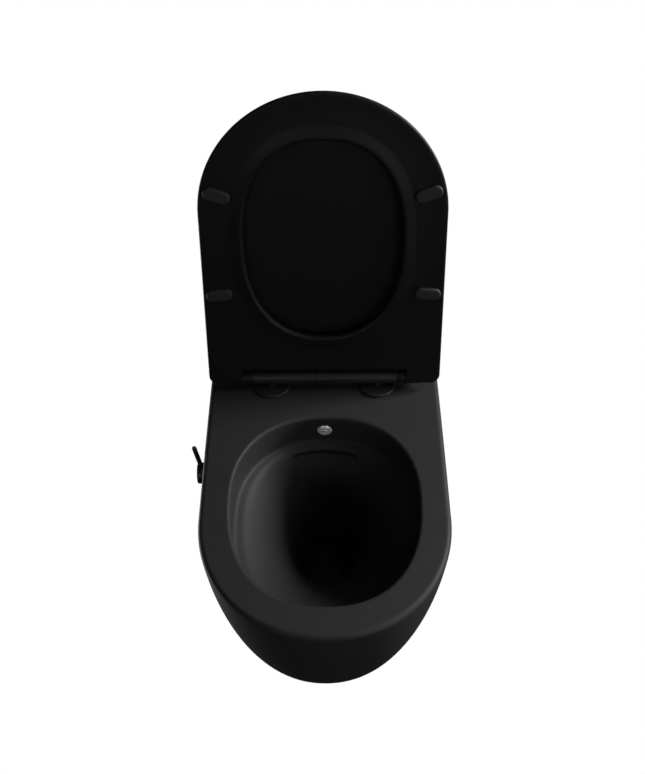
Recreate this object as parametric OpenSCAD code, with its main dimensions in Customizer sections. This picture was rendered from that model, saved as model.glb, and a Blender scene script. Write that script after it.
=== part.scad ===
// Wall-hung rimless toilet pan with a built-in bidet nozzle, a side valve and a soft-close seat.
// Millimetres. +Z is up and +Y points into the wall. The wall is the plane y = 0, and the origin
// lies on it midway between the two wall studs. Lengths "from the wall" run towards -Y.

/* [Wall interface] */
// Spacing of the two wall studs
stud_spacing = 180; // [170:5:190]
// Bore of the sleeves that slip over the studs, as a radius
stud_hole_r = 6.5; // [5.5:0.25:7]
// Height of the flush inlet above the studs
inlet_up = 35; // [30:1:38]
// Radius of the flush inlet socket
inlet_r = 27.5; // [25:0.5:28]
// Depth of the flush inlet socket
inlet_l = 42; // [35:1:48]
// Drop of the waste outlet below the studs
outlet_down = 100; // [95:1:106]
// Outer radius of the waste spigot
outlet_r = 51; // [45:1:52]
// Wall of the waste spigot
outlet_wall = 8; // [6:1:10]
// Length of the waste spigot
outlet_l = 46; // [40:1:50]
// Room round the waste spigot for its connector
outlet_room = 13; // [11:1:15]

/* [Wall fixings] */
// Wall of a stud sleeve
sleeve_wall = 2.4; // [2:0.1:3]
// Reach of a sleeve's flange outside its bore
sleeve_flange_w = 6; // [5:0.5:7]
// Thickness of a sleeve's flange
sleeve_flange_t = 2.5; // [2:0.25:3]
// Reach of a wall washer outside its bore
washer_w = 7; // [6:0.5:8]
// Thickness of a wall washer
washer_t = 2.5; // [2:0.25:3]
// Reach of a wall nut's corners outside the stud
wall_nut_w = 5; // [4.5:0.25:6]
// Height of a wall nut
wall_nut_h = 10; // [8:0.5:12]

/* [Pan] */
// Distance from the wall to the front of the pan
pan_l = 545; // [530:1:570]
// Overall width of the pan
pan_w = 361; // [352:1:375]
// Height of the pan from its underside to the rim
pan_h = 345; // [340:1:360]
// Height of the rim above the studs
rim_up = 80; // [76:1:84]
// Thickness of the china round the hollows
china = 12; // [10:0.5:14]
// Radius of the outer edge of the rim
rim_round = 8; // [4:0.5:10]
// Length of the rounded nose, at the rim
nose_l = 194; // [180:1:200]
// Distance from the wall to the front of the flat underside
foot_l = 300; // [280:1:320]
// Width of the flat underside
foot_w = 146; // [120:2:180]
// Length of the rounded nose, at the underside
foot_nose_l = 50; // [40:1:60]
// How much each flank comes in from the wall to the nose
flank_taper = 5; // [0:0.5:8]

/* [Bowl] */
// Deck from the wall to the back of the opening
deck_l = 168; // [164:1:172]
// Width of the rim at the front
rim_front_w = 48.5; // [44:0.5:60]
// Width of the rim at each side
rim_side_w = 47.5; // [44:0.5:52]
// Squareness of the front of the opening, where 2 is an ellipse
rim_front_power = 2.38; // [2:0.02:2.6]
// Squareness of the back of the opening
rim_rear_power = 2.22; // [2:0.02:2.6]
// Radius of the inner edge of the rim
lip_round = 5; // [2:0.5:6]
// Height of the upright wall under the rim
wall_h = 50; // [46:1:54]
// Drop over the rounded ledge at the foot of the upright wall
ledge_drop = 8; // [6:1:12]
// Width of the ledge at the sides
ledge_side_w = 16; // [8:1:20]
// Width of the ledge at the back
ledge_rear_w = 7; // [4:1:12]
// Width of the ledge at the front
ledge_front_w = 18; // [8:1:24]
// Width of the flush slot below the ledge
slot_w = 100; // [80:2:106]
// Height of the flush slot
slot_h = 6; // [5:0.5:8]
// Depth of the mouth of the sump below the rim
sump_depth = 185; // [175:1:195]
// Width of the mouth of the sump
sump_w = 102; // [92:2:110]
// Distance from the wall to the back of the sump
sump_rear_l = 213; // [208:1:220]
// Length of the mouth of the sump
sump_l = 131; // [120:1:140]
// Radius of the waterway through the trap
trap_r = 30; // [26:1:32]
// Height of the weir above the middle of the outlet
weir_up = 0; // [-5:1:5]
// Depth of the water seal, from the weir down to the lip it dips under
seal = 50; // [50:1:60]
// Lean of the bowl's upright back wall, in degrees
back_lean = 5; // [0:0.5:8]

/* [Hollows behind the bowl] */
// Thickness of the deck
deck_t = 16; // [14:1:20]
// Half width of the solid spine between the two hollows
spine_hw = 60; // [58:1:62]
// Depth of the hollows from the wall
hollow_l = 127; // [110:1:130]
// Height of the hollows
hollow_h = 234; // [200:2:240]
// Thickness of the bridge that the wall studs pass through
bridge_t = 24; // [20:1:28]
// Width of that bridge
bridge_w = 64; // [60:1:68]
// Radius of the access hole in each flank
access_r = 18; // [16:0.5:20]

/* [Seat and lid] */
// Distance from the wall to the hinge axis
hinge_l = 97; // [94:1:104]
// Height of the hinge axis above the rim
hinge_up = 19; // [18:0.5:22]
// How far past upright the seat and the lid lean when open, in degrees
lean_back = 8; // [4:1:10]
// Length of the seat in front of the hinge axis
seat_l = 454; // [445:1:465]
// Width of the seat at its back corners
seat_w = 357; // [350:1:365]
// Width of the seat where its round front starts
seat_front_w = 345; // [335:1:350]
// Length of the round front
seat_nose_l = 174; // [165:1:180]
// Rear edge of the seat behind the hinge axis
seat_back = 5; // [3:0.5:7]
// Radius of the back corners
corner_r = 14; // [10:1:18]
// Gap between the rim and the underside of the seat
seat_gap = 6; // [5:0.5:7]
// Thickness of the seat
seat_t = 10.5; // [9:0.5:12]
// Front of the seat's opening, in front of the hinge axis
opening_front = 389; // [380:1:395]
// Back of the seat's opening, in front of the hinge axis
opening_rear = 83; // [76:1:90]
// Width of the seat's opening
opening_w = 224; // [210:2:232]
// Squareness of the front of the seat's opening, where 2 is an ellipse
opening_front_power = 2.38; // [2:0.02:2.6]
// Squareness of the back of the seat's opening
opening_rear_power = 2.28; // [2:0.02:2.6]
// Height of the bead under the seat, round its opening
bead_h = 2.6; // [1.5:0.1:3]
// Width of that bead, which slopes off outwards
bead_w = 23; // [18:1:24]
// Gap between the seat and the lid
lid_gap = 1.5; // [1:0.25:2.5]
// Height of the lid's dome
lid_h = 14; // [12:0.5:16]
// Width of the lid's sloping border
lid_border = 45; // [35:1:60]
// Set-back of the lid's edge from the seat's
lid_inset = 6; // [2:0.5:8]
// Depth of the hollow in the lid's inner face
lid_hollow = 6; // [3:0.5:7]
// Width of the border round that hollow
lid_rim_w = 16; // [12:1:24]
// Height of the play between a buffer and what it closes on
buffer_play = 0.3; // [0.2:0.1:0.6]
// Length of a seat buffer
buffer_l = 38; // [30:1:42]
// Width of a seat buffer
buffer_w = 18; // [14:1:20]
// Distance of the front buffers in front of the hinge axis
buffer_front = 314; // [300:1:325]
// Distance of the front buffers from the middle plane
buffer_front_x = 144; // [142:1:147]
// Turn of the front buffers, in degrees
buffer_front_turn = 20; // [15:1:25]
// Distance of the rear buffers in front of the hinge axis
buffer_rear = 158; // [140:1:175]
// Distance of the rear buffers from the middle plane
buffer_rear_x = 151; // [146:1:156]
// Turn of the rear buffers, in degrees
buffer_rear_turn = 5; // [0:1:10]
// Radius of a lid buffer
lid_buffer_r = 5; // [4:0.5:6]
// Distance of the lid's front buffers in front of the hinge axis
lid_buffer_front = 382; // [375:1:388]
// Distance of the lid's front buffers from the middle plane
lid_buffer_front_x = 118; // [112:1:122]
// Distance of the lid's rear buffers in front of the hinge axis
lid_buffer_rear = 70; // [60:1:90]
// Distance of the lid's rear buffers from the middle plane
lid_buffer_rear_x = 158; // [152:1:160]

/* [Hinge] */
// Radius of the hinge bar
bar_r = 11.5; // [10:0.5:12]
// Length of the hinge bar
bar_l = 224; // [210:2:230]
// Width of the lid's knuckles at the ends of the bar
knuckle_w = 14.6; // [12:0.2:16]
// Gap between turning faces
side_gap = 0.3; // [0.2:0.05:0.5]
// Width of the seat's lugs outside the knuckles
lug_w = 20; // [16:1:24]
// Radius of the hinge pins
pin_r = 3.5; // [3:0.25:4]
// Length of a soft-close damper
damper_l = 60; // [45:1:70]
// Radius of a soft-close damper
damper_r = 6.4; // [5.5:0.1:6.8]
// Radial play of a running or a slip fit
play = 0.05; // [0.03:0.01:0.08]
// Spacing of the two hinge posts
post_spacing = 165; // [160:1:172]
// Radius of a hinge post
post_r = 8; // [7:0.5:9]
// Spacing of the two holes in the deck
fixing_spacing = 155; // [153:1:162]
// Radius of the holes in the deck
fixing_r = 8; // [7:0.5:9]
// Radius of the studs in those holes
fixing_stud_r = 3; // [2.5:0.25:4]
// Length of a stud below the deck's top
fixing_stud_l = 44; // [40:1:48]
// Length of an expansion sleeve below the deck
sleeve_tail = 14; // [10:1:16]
// Height of the nut under an expansion sleeve
sleeve_nut_h = 8; // [6:0.5:9]
// Radius of a hinge rosette
rosette_r = 28.5; // [26:0.5:30]
// Height of a hinge rosette
rosette_h = 4.5; // [4:0.25:6]
// Set-forward of the rosettes from the hinge axis
rosette_forward = 1; // [0:0.5:3]
// Thickness of the base plate under a rosette
plate_t = 2.5; // [2:0.25:3]
// Length of the release button along the bar
button_l = 29; // [22:1:32]
// Width of the release button across the bar
button_w = 16; // [13:0.5:17]
// Travel of the release button
button_travel = 1.8; // [1:0.1:2.5]
// How far the release button stands proud of the bar
button_proud = 0.4; // [0.2:0.1:0.8]

/* [Bidet nozzle] */
// Depth of the nozzle's middle below the rim
nozzle_depth = 30.5; // [28:0.5:32]
// Radius of the nozzle's flange
nozzle_flange_r = 11.8; // [10:0.1:12.5]
// Radius of the nozzle's tail
nozzle_tail_r = 6; // [5:0.25:7]
// Radius of the feed pipe
pipe_r = 4; // [3:0.25:4.5]

/* [Bidet valve] */
// Distance from the wall to the valve's axis
valve_l = 227; // [220:1:232]
// Depth of the valve's axis below the rim
valve_depth = 58; // [54:1:62]
// Radius of the valve's shank
shank_r = 10; // [8:0.5:11]
// Radius of the lever's hub
hub_r = 16.5; // [14:0.5:18]
// Thickness of the lever's hub
hub_t = 15.4; // [12:0.2:17]
// Radius of the escutcheon between the hub and the flank
escutcheon_r = 15.5; // [13:0.5:17]
// Thickness of the escutcheon
escutcheon_t = 3; // [2:0.25:4]
// Radius of the pin lever
lever_r = 3.6; // [2.5:0.1:4.5]
// Reach of the pin lever from the valve's axis
lever_l = 51; // [42:1:58]
// Lean of the pin lever away from the flank, in degrees
lever_out = 13; // [5:1:18]
// Lean of the pin lever towards the wall, in degrees
lever_back = 12; // [0:1:30]
// Radius of the valve's spindle
spindle_r = 4; // [3:0.25:5]
// Radius of the supply nipple at the wall
nipple_r = 8.3; // [7:0.1:9]
// Length of the supply nipple
nipple_l = 12; // [10:1:14]

/* [Hidden] */
$fn = 72;

// Colours
china_black = "#26272a";
plastic_black = "#1c1d1f";
rubber_grey = "#3a3b3d";
bright_steel = "#c9ccd0";
brass = "#b99a52";
clear_plastic = "#d8d6cc";

// Places that several pieces share
eps = 0.01;
through = 1;
// Gap round a piece that is pushed home
snug = 0.1;
deck_z = rim_up;
hinge_z = rim_up + hinge_up;
nozzle_z = rim_up - nozzle_depth;
nozzle_y = 0.4 - deck_l + (nozzle_depth - lip_round) * tan(back_lean);
valve_z = rim_up - valve_depth;
front_l = pan_l - rim_front_w;
side_hw = pan_w / 2 - rim_side_w;
weir_z = weir_up - outlet_down;
lip_z = weir_z - seal;
sump_floor_z = lip_z - 2 * trap_r + 2;
pan_steps = 16;
bowl_steps = 7;
ring_points = 40;
sump_power = 2.2;

// ---------------------------------------------------------------- shared helpers

// Signed power, for superellipses
function spow(v, p) = sign(v) * pow(abs(v), p);

// Solid through flat rings of equal length: the first ring on top, each anticlockwise from above
module loft(rings) {
    n = len(rings[0]);
    m = len(rings);
    points = [for (r = rings) each r];
    sides = [
        for (i = [0 : m - 2], j = [0 : n - 1])
            let (a = i * n + j, b = i * n + (j + 1) % n)
            each [[a, b, b + n], [a, b + n, a + n]]
    ];
    top = [[for (j = [n - 1 : -1 : 0]) j]];
    bottom = [[for (j = [0 : n - 1]) (m - 1) * n + j]];
    polyhedron(points, concat(sides, top, bottom));
}

// Round bar along X between two stations
module bar_x(r, x1, x2) {
    translate([x1, 0, 0]) rotate([0, 90, 0]) cylinder(r = r, h = x2 - x1);
}

// Round bar along Y between two stations
module bar_y(r, y1, y2) {
    translate([0, y1, 0]) rotate([-90, 0, 0]) cylinder(r = r, h = y2 - y1);
}

// Tube swept along points that lie a few radii apart, with a fixed number of sides
module sweep(path, radii, sides) {
    n = len(path);
    tangents = [
        for (i = [0 : n - 1])
            let (d = path[min(i + 1, n - 1)] - path[max(i - 1, 0)])
            d / norm(d)
    ];
    rings = [
        for (i = [0 : n - 1])
            let (
                t = tangents[i],
                ref = abs(t[2]) > 0.9 ? [0, 1, 0] : [0, 0, 1],
                u = cross(ref, t) / norm(cross(ref, t)),
                v = cross(t, u)
            )
            [for (j = [0 : sides - 1])
                let (q = 360 * j / sides)
                path[i] + radii[i] * (u * cos(q) + v * sin(q))]
    ];
    points = [for (r = rings) each r];
    walls = [
        for (i = [0 : n - 2], j = [0 : sides - 1])
            let (a = i * sides + j, b = i * sides + (j + 1) % sides)
            each [[a, b + sides, b], [a, a + sides, b + sides]]
    ];
    first = [[for (j = [0 : sides - 1]) j]];
    last = [[for (j = [sides - 1 : -1 : 0]) (n - 1) * sides + j]];
    polyhedron(points, concat(walls, first, last));
}

// The same shape on both sides of the middle plane
module both_sides() {
    children();
    mirror([1, 0, 0]) children();
}

// ---------------------------------------------------------------- pan

// Half width and length of the outer body, at a depth below the rim
function body_hw(d) =
    foot_w / 2 + (pan_w / 2 - foot_w / 2) * pow(1 - pow(d / pan_h, 2.11), 1 / 1.95);
function body_l(d) = foot_l + (pan_l - foot_l) * pow(1 - pow(d / pan_h, 1.58), 1 / 2.59);
function nose_start(d) =
    let (top = pan_l - nose_l, low = foot_l - foot_nose_l)
    top + (low - top) * d / pan_h;

// Half width of the flank at a distance from the wall and a depth below the rim
function flank_hw(l, d) = body_hw(d) - flank_taper * pow(l / nose_start(d), 1.5);

// Outline of the body at a depth below the rim, drawn in by an edge radius
function body_ring(d, in) =
    let (
        start = nose_start(d),
        a = flank_hw(start, d) - in,
        b = body_l(d) - in - start,
        nose = [for (i = [0 : 14])
            let (q = 90 - 90 * i / 14)
            [a * spow(cos(q), 0.952), -(start + b * spow(sin(q), 0.952)), rim_up - d]],
        flank = [for (i = [1 : 5])
            let (l = start * (1 - i / 5))
            [flank_hw(l, d) - in, -l, rim_up - d]],
        right = concat(nose, flank)
    )
    concat(right, [for (i = [len(right) - 1 : -1 : 1]) [-right[i][0], right[i][1], right[i][2]]]);

module body() {
    edge = [for (q = [0, 30, 60]) body_ring(rim_round * (1 - cos(q)), rim_round * (1 - sin(q)))];
    lower = [
        for (i = [0 : pan_steps])
            let (u = 1 - pow(1 - i / pan_steps, 1.6))
            body_ring(rim_round + (pan_h - rim_round) * u, 0)
    ];
    loft(concat(edge, lower));
}

// Outline of the bowl at a depth below the rim, from its back, front and side reach.
// Its squareness goes from the opening's at u = 0 to the sump's at u = 1.
function bowl_ring(rear, front, half, d, u) =
    let (middle = rear + (front - rear) * 0.444)
    [for (i = [0 : ring_points - 1])
        let (
            q = 360 * i / ring_points,
            reach = sin(q) > 0 ? middle - rear : front - middle,
            top = sin(q) > 0 ? rim_rear_power : rim_front_power,
            power = top + (sump_power - top) * u
        )
        [half * spow(cos(q), 2 / power), -middle + reach * spow(sin(q), 2 / power), rim_up - d]];

// Share of the way from the ledge to the sump that a slope of a given fullness has come
function fall(u, fullness) = 1 - pow(1 - u, fullness);

module bowl() {
    ledge_d = wall_h + ledge_drop;
    lean = (wall_h - lip_round) * tan(back_lean);
    lip = [
        for (q = [0, 30, 60])
            let (out = lip_round * (1 - sin(q)), d = lip_round * (1 - cos(q)))
            bowl_ring(deck_l - out, front_l + out, side_hw + out, d, 0)
    ];
    above = [bowl_ring(deck_l - lip_round, front_l + lip_round, side_hw + lip_round, -through, 0)];
    upright = [
        bowl_ring(deck_l, front_l, side_hw, lip_round, 0),
        bowl_ring(deck_l - lean, front_l, side_hw, wall_h, 0),
        bowl_ring(deck_l + 0.2 * ledge_rear_w, front_l - 0.25 * ledge_front_w,
            side_hw - 0.25 * ledge_side_w, ledge_d - 0.45 * ledge_drop, 0)
    ];
    slope = [
        for (i = [0 : bowl_steps])
            let (u = i / bowl_steps)
            bowl_ring(
                deck_l + ledge_rear_w + (sump_rear_l - deck_l - ledge_rear_w) * u,
                front_l - ledge_front_w
                    - (front_l - ledge_front_w - sump_rear_l - sump_l) * fall(u, 1.3),
                side_hw - ledge_side_w - (side_hw - ledge_side_w - sump_w / 2) * fall(u, 1.75),
                ledge_d + (sump_depth - ledge_d) * u,
                u)
    ];
    sump = [
        for (i = [1 : 4])
            let (
                u = i / 4,
                k = sqrt(1 - 0.7 * u * u),
                middle = sump_rear_l + sump_l * 0.45,
                drop = rim_up - sump_depth - sump_floor_z
            )
            bowl_ring(middle - sump_l * 0.45 * k, middle + sump_l * 0.55 * k, sump_w / 2 * k,
                sump_depth + drop * u, 1)
    ];
    loft(concat(above, lip, upright, slope, sump));
}

// Waterway from the sump, under its back lip, over the weir and down to the outlet
module trap() {
    low = lip_z - trap_r;
    crest = weir_z + trap_r;
    bore = outlet_r - outlet_wall;
    back = sump_rear_l;
    sweep(
        [
            [0, -back - 50, low + 18],
            [0, -back - 24, low + 4],
            [0, -back + 4, low],
            [0, -back + 32, low + 10],
            [0, -back + 54, low + 36],
            [0, -back + 74, (low + crest) / 2 + 20],
            [0, -back + 102, crest],
            [0, -outlet_l - 34, crest - 4],
            [0, -outlet_l - 14, -outlet_down + 12],
            [0, -outlet_l + 8, -outlet_down]
        ],
        [trap_r, trap_r, trap_r, trap_r, trap_r, trap_r, trap_r, trap_r + 2, bore - 6, bore - 2],
        20
    );
}

// The two hollows behind the bowl, open to the wall, each crossed by the bridge of its wall stud
module hollows() {
    depths = [for (i = [0 : 8]) deck_t + hollow_h * i / 8];
    outer = [for (d = depths) [flank_hw(hollow_l, d) - china, rim_up - d]];
    profile = concat([[spine_hw, rim_up - deck_t]], outer, [[spine_hw, rim_up - deck_t - hollow_h]]);
    both_sides() difference() {
        translate([0, through, 0]) rotate([90, 0, 0])
            linear_extrude(height = hollow_l + through) polygon(profile);
        translate([spine_hw - through, -bridge_t, -bridge_w / 2])
            cube([stud_spacing / 2 + 35 - spine_hw + through, bridge_t + 3 * through, bridge_w]);
    }
}

// Room for the valve and its pipes, along the left flank and across behind the bowl
module pipe_run() {
    outer = flank_hw(valve_l, valve_depth) - china;
    translate([-outer, -valve_l - 20, valve_z - 28]) cube([24, valve_l + 20 - hollow_l + 6, 56]);
    translate([-outer, nozzle_y + china + 0.8, nozzle_z - 13])
        cube([outer + 16, 44, 26]);
}

// Flush water's way from the inlet to the slot below the ledge
module flush_way() {
    channel_r = 13;
    channel_fall = 8;
    slot_z = rim_up - wall_h - ledge_drop - 10;
    translate([0, 0, inlet_up]) bar_y(inlet_r, -inlet_l, through);
    translate([0, -inlet_l + 6, inlet_up - 10])
        rotate([90 + channel_fall, 0, 0]) cylinder(r = channel_r, h = deck_l - inlet_l - 24);
    translate([-slot_w / 2, -deck_l - 22, slot_z - slot_h / 2]) cube([slot_w, 62, slot_h]);
}

module pan() {
    color(china_black) difference() {
        body();
        bowl();
        trap();
        hollows();
        pipe_run();
        flush_way();
        // waste spigot: a ring of room round it, and its bore
        translate([0, 0, -outlet_down]) rotate([90, 0, 0]) {
            translate([0, 0, -through]) rotate_extrude()
                translate([outlet_r, 0]) square([outlet_room, outlet_l + through]);
            translate([0, 0, -through]) cylinder(r = outlet_r - outlet_wall, h = outlet_l + through);
        }
        both_sides() {
            // wall stud sleeve
            translate([stud_spacing / 2, 0, 0])
                bar_y(stud_hole_r + sleeve_wall + snug, -bridge_t - through, through);
            // access hole in the flank and the seat of its cap
            translate([0, -cap_l, 0]) {
                bar_x(access_r + 0.2, flank_hw(cap_l, rim_up) - china - 4, pan_w / 2 + through);
                bar_x(access_r + 2.4, cap_seat, pan_w / 2 + through);
            }
            // hinge fixing hole in the deck
            translate([fixing_spacing / 2, -hinge_l, deck_z - deck_t - through])
                cylinder(r = fixing_r, h = deck_t + 2 * through);
        }
        // nozzle hole and the flat that its flange lies on
        at_nozzle() {
            translate([0, 0, -30]) cylinder(r = nozzle_tail_r + 0.3, h = 31);
            translate([0, 0, -china - 6]) cylinder(r = 12, h = 6);
            cylinder(r = nozzle_flange_r + 0.6, h = 8);
        }
        // valve hole and the flat that its escutcheon lies on
        at_valve() {
            translate([0, 0, -china - 6]) cylinder(r = shank_r + 0.3, h = china + 12);
            cylinder(r = hub_r + 1, h = 12);
        }
    }
}

// Cap in the flank's access hole
cap_l = bridge_t + 26;
cap_seat = flank_hw(cap_l, rim_up + access_r) - 3;

// ---------------------------------------------------------------- wall fixings

module at_studs() {
    for (side = [-1, 1]) translate([side * stud_spacing / 2, 0, 0]) children();
}

module wall_sleeves() {
    color(clear_plastic) at_studs() difference() {
        union() {
            bar_y(stud_hole_r + sleeve_wall, -bridge_t, 0);
            bar_y(stud_hole_r + sleeve_flange_w, -bridge_t - sleeve_flange_t, -bridge_t);
        }
        bar_y(stud_hole_r, -bridge_t - sleeve_flange_t - through, through);
    }
}

module wall_washers() {
    y = -bridge_t - sleeve_flange_t;
    color(bright_steel) at_studs() difference() {
        bar_y(stud_hole_r + washer_w, y - washer_t, y);
        bar_y(stud_hole_r, y - washer_t - through, y + through);
    }
}

module wall_nuts() {
    y = -bridge_t - sleeve_flange_t - washer_t;
    stud_r = stud_hole_r - 0.5;
    color(bright_steel) at_studs() difference() {
        translate([0, y - wall_nut_h, 0]) rotate([-90, 0, 0])
            cylinder(r = stud_r + wall_nut_w, h = wall_nut_h, $fn = 6);
        bar_y(stud_r, y - wall_nut_h - through, y + through);
    }
}

module flank_caps() {
    color(plastic_black) both_sides() translate([0, -cap_l, 0]) difference() {
        union() {
            bar_x(access_r + 2.2, cap_seat, cap_seat + 2.4);
            bar_x(access_r, cap_seat - china, cap_seat);
        }
        bar_x(access_r - 3, cap_seat - china - through, cap_seat - 1.5);
    }
}

// ---------------------------------------------------------------- hinge on the deck

module at_axis() {
    translate([0, -hinge_l, hinge_z]) children();
}

// Frame of a deck fixing: +Z up, at the deck's top
module at_posts() {
    for (side = [-1, 1])
        translate([side * post_spacing / 2, -hinge_l - rosette_forward, deck_z]) children();
}

module at_fixings() {
    for (side = [-1, 1]) translate([side * fixing_spacing / 2, -hinge_l, deck_z]) children();
}

// Spigot of a base plate, in its socket under a post, short of the bar
spigot_r = 5;
spigot_h = hinge_up - bar_r - plate_t - 1.4;
socket_h = spigot_h + 0.4;

module hinge_base_plates() {
    color(bright_steel) difference() {
        at_posts() {
            cylinder(r = rosette_r - 4.5, h = plate_t);
            translate([0, rosette_forward, plate_t - eps]) cylinder(r = spigot_r, h = spigot_h + eps);
        }
        at_fixings() translate([0, 0, -through])
            cylinder(r = fixing_stud_r + play, h = plate_t + through);
    }
}

module hinge_rosettes() {
    color(plastic_black) at_posts() rotate_extrude() polygon([
        [rosette_r, 0], [rosette_r, rosette_h - 2.2], [rosette_r - 0.7, rosette_h - 0.7],
        [rosette_r - 2.2, rosette_h], [post_r + 1.4, rosette_h], [post_r + 1.4, plate_t + 0.3],
        [rosette_r - 4.2, plate_t + 0.3], [rosette_r - 4.2, 0]
    ]);
}

module hinge_posts() {
    color(plastic_black) difference() {
        for (side = [-1, 1])
            translate([side * post_spacing / 2, -hinge_l, deck_z + plate_t])
                cylinder(r = post_r, h = hinge_up - plate_t);
        at_axis() bar_x(bar_r + 0.02, -bar_l / 2 - through, bar_l / 2 + through);
        for (side = [-1, 1])
            translate([side * post_spacing / 2, -hinge_l, deck_z + plate_t - through])
                cylinder(r = spigot_r + play, h = socket_h + through);
    }
}

module hinge_studs() {
    color(bright_steel) at_fixings() translate([0, 0, -fixing_stud_l])
        cylinder(r = fixing_stud_r, h = fixing_stud_l + plate_t - 0.2);
}

module expansion_sleeves() {
    color(rubber_grey) at_fixings() translate([0, 0, -deck_t - sleeve_tail]) difference() {
        cylinder(r = fixing_r - snug, h = deck_t + sleeve_tail - snug);
        translate([0, 0, -through])
            cylinder(r = fixing_stud_r + play, h = deck_t + sleeve_tail + 2 * through);
    }
}

module sleeve_nuts() {
    color(brass) at_fixings() translate([0, 0, -deck_t - sleeve_tail - sleeve_nut_h]) difference() {
        cylinder(r1 = fixing_r - 1.5, r2 = fixing_r - 0.5, h = sleeve_nut_h);
        translate([0, 0, -through])
            cylinder(r = fixing_stud_r + play, h = sleeve_nut_h + 2 * through);
    }
}

// Frame of the release button: +Z out of the bar, half way between forwards and up
module at_button() {
    at_axis() rotate([45, 0, 0]) children();
}

// Outline with two round ends
function stadium(l, w) =
    let (r = w / 2, s = l / 2 - r)
    [for (i = [0 : 23])
        let (q = 360 * (i + 0.5) / 24)
        [r * cos(q) + (cos(q) > 0 ? s : -s), r * sin(q)]];

button_base = 4;
spring_r = 3;
spring_seat = -5;

module hinge_bar() {
    color(plastic_black) difference() {
        at_axis() bar_x(bar_r, -bar_l / 2, bar_l / 2);
        at_axis() both_sides() bar_x(damper_r + play, bar_l / 2 - damper_l, bar_l / 2 + through);
        at_button() translate([0, 0, button_base - button_travel - 0.4])
            linear_extrude(height = bar_r + 2) polygon(stadium(button_l + 0.6, button_w + 0.6));
        at_button() translate([0, 0, spring_seat]) cylinder(r = spring_r + 0.2, h = bar_r);
    }
}

module release_button() {
    color(plastic_black) intersection() {
        at_axis() bar_x(bar_r + button_proud, -button_l, button_l);
        at_button() translate([0, 0, button_base])
            linear_extrude(height = bar_r + 2) polygon(stadium(button_l, button_w));
    }
}

module button_spring() {
    color(bright_steel) at_button() translate([0, 0, spring_seat]) difference() {
        cylinder(r = spring_r, h = button_base - spring_seat);
        translate([0, 0, -through]) cylinder(r = spring_r - 0.8, h = bar_r + 4);
    }
}

module damper_cartridges() {
    depth = 26;
    color(clear_plastic) at_axis() both_sides() difference() {
        bar_x(damper_r, bar_l / 2 - damper_l + 0.2, bar_l / 2);
        bar_x(pin_r + play, bar_l / 2 - depth, bar_l / 2 + through);
    }
}

// ---------------------------------------------------------------- seat and lid

// Turns a piece drawn closed, with x, forwards and up from the hinge axis, to its open place
module opened() {
    at_axis() rotate([-90 - lean_back, 0, 0]) children();
}

nose_centre = seat_l - seat_nose_l;

// Outline of the seat drawn in by an inset, anticlockwise from above, 64 points
function seat_outline(in) =
    let (
        r = max(corner_r, in + 2),
        a = seat_front_w / 2 - in,
        b = seat_nose_l - in,
        w = seat_w / 2,
        nose = [for (i = [0 : 12])
            let (q = 90 - 7.5 * i)
            [a * cos(q), nose_centre + b * sin(q)]],
        flank = [for (i = [1 : 7])
            let (u = i / 7)
            [a + (w - in - a) * u, nose_centre + (r - seat_back - nose_centre) * u]],
        corner = [for (i = [1 : 4])
            let (q = 22.5 * i)
            [w - r + (r - in) * cos(q), r - seat_back - (r - in) * sin(q)]],
        back = [for (i = [1 : 8]) [(w - r) * (1 - i / 8), in - seat_back]],
        right = concat(nose, flank, corner, back)
    )
    concat(
        [for (p = right) [p[0], -p[1]]],
        [for (i = [len(right) - 2 : -1 : 1]) [-right[i][0], -right[i][1]]]
    );

// Points of the seat's opening, one for each point of its outline
function opening_outline() =
    let (
        middle = (opening_front + opening_rear) / 2,
        reach = (opening_front - opening_rear) / 2,
        turns = concat(
            [for (i = [0 : 12]) 90 - 7.5 * i],
            [for (i = [1 : 7]) -5.5 * i],
            [for (i = [1 : 4]) -38.5 - 4 * i],
            [for (i = [1 : 8]) -54.5 - 35.5 * i / 8]
        ),
        right = [for (q = turns)
            let (power = q > 0 ? opening_front_power : opening_rear_power)
            [opening_w / 2 * spow(cos(q), 2 / power), middle + reach * spow(sin(q), 2 / power)]]
    )
    concat(
        [for (p = right) [p[0], -p[1]]],
        [for (i = [len(right) - 2 : -1 : 1]) [-right[i][0], -right[i][1]]]
    );

// Ring with one section at every station between the outline and the opening
module seat_ring() {
    outer = seat_outline(0);
    inner = opening_outline();
    low = seat_gap - hinge_up;
    high = low + seat_t;
    // Distance in from the outline (below 100) or out from the opening (above 100), and height
    bead = low - bead_h;
    section = [
        [0, low + 3.2], [1, low + 0.9], [3, low], [100 + bead_w, low], [108.5, bead + 0.2],
        [105, bead], [102, bead + 0.9], [100.4, bead + 2.8], [100, low + 3.4],
        [101.2, high - 1.8], [105, high - 0.2], [111, high],
        [8, high], [3.6, high - 1.2], [1, high - 4]
    ];
    n = len(outer);
    m = len(section);
    points = [
        for (i = [0 : n - 1], s = section)
            let (
                step = (inner[i] - outer[i]) / norm(inner[i] - outer[i]),
                p = s[0] < 100 ? outer[i] + step * s[0] : inner[i] - step * (s[0] - 100)
            )
            [p[0], p[1], s[1]]
    ];
    faces = [
        for (i = [0 : n - 1], j = [0 : m - 1])
            let (
                a = i * m + j,
                b = i * m + (j + 1) % m,
                c = (i + 1) % n * m + j,
                d = (i + 1) % n * m + (j + 1) % m
            )
            each [[a, d, b], [a, c, d]]
    ];
    polyhedron(points, faces);
}

notch_hw = bar_l / 2 + side_gap + knuckle_w + side_gap;
notch_l = 22;

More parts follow.
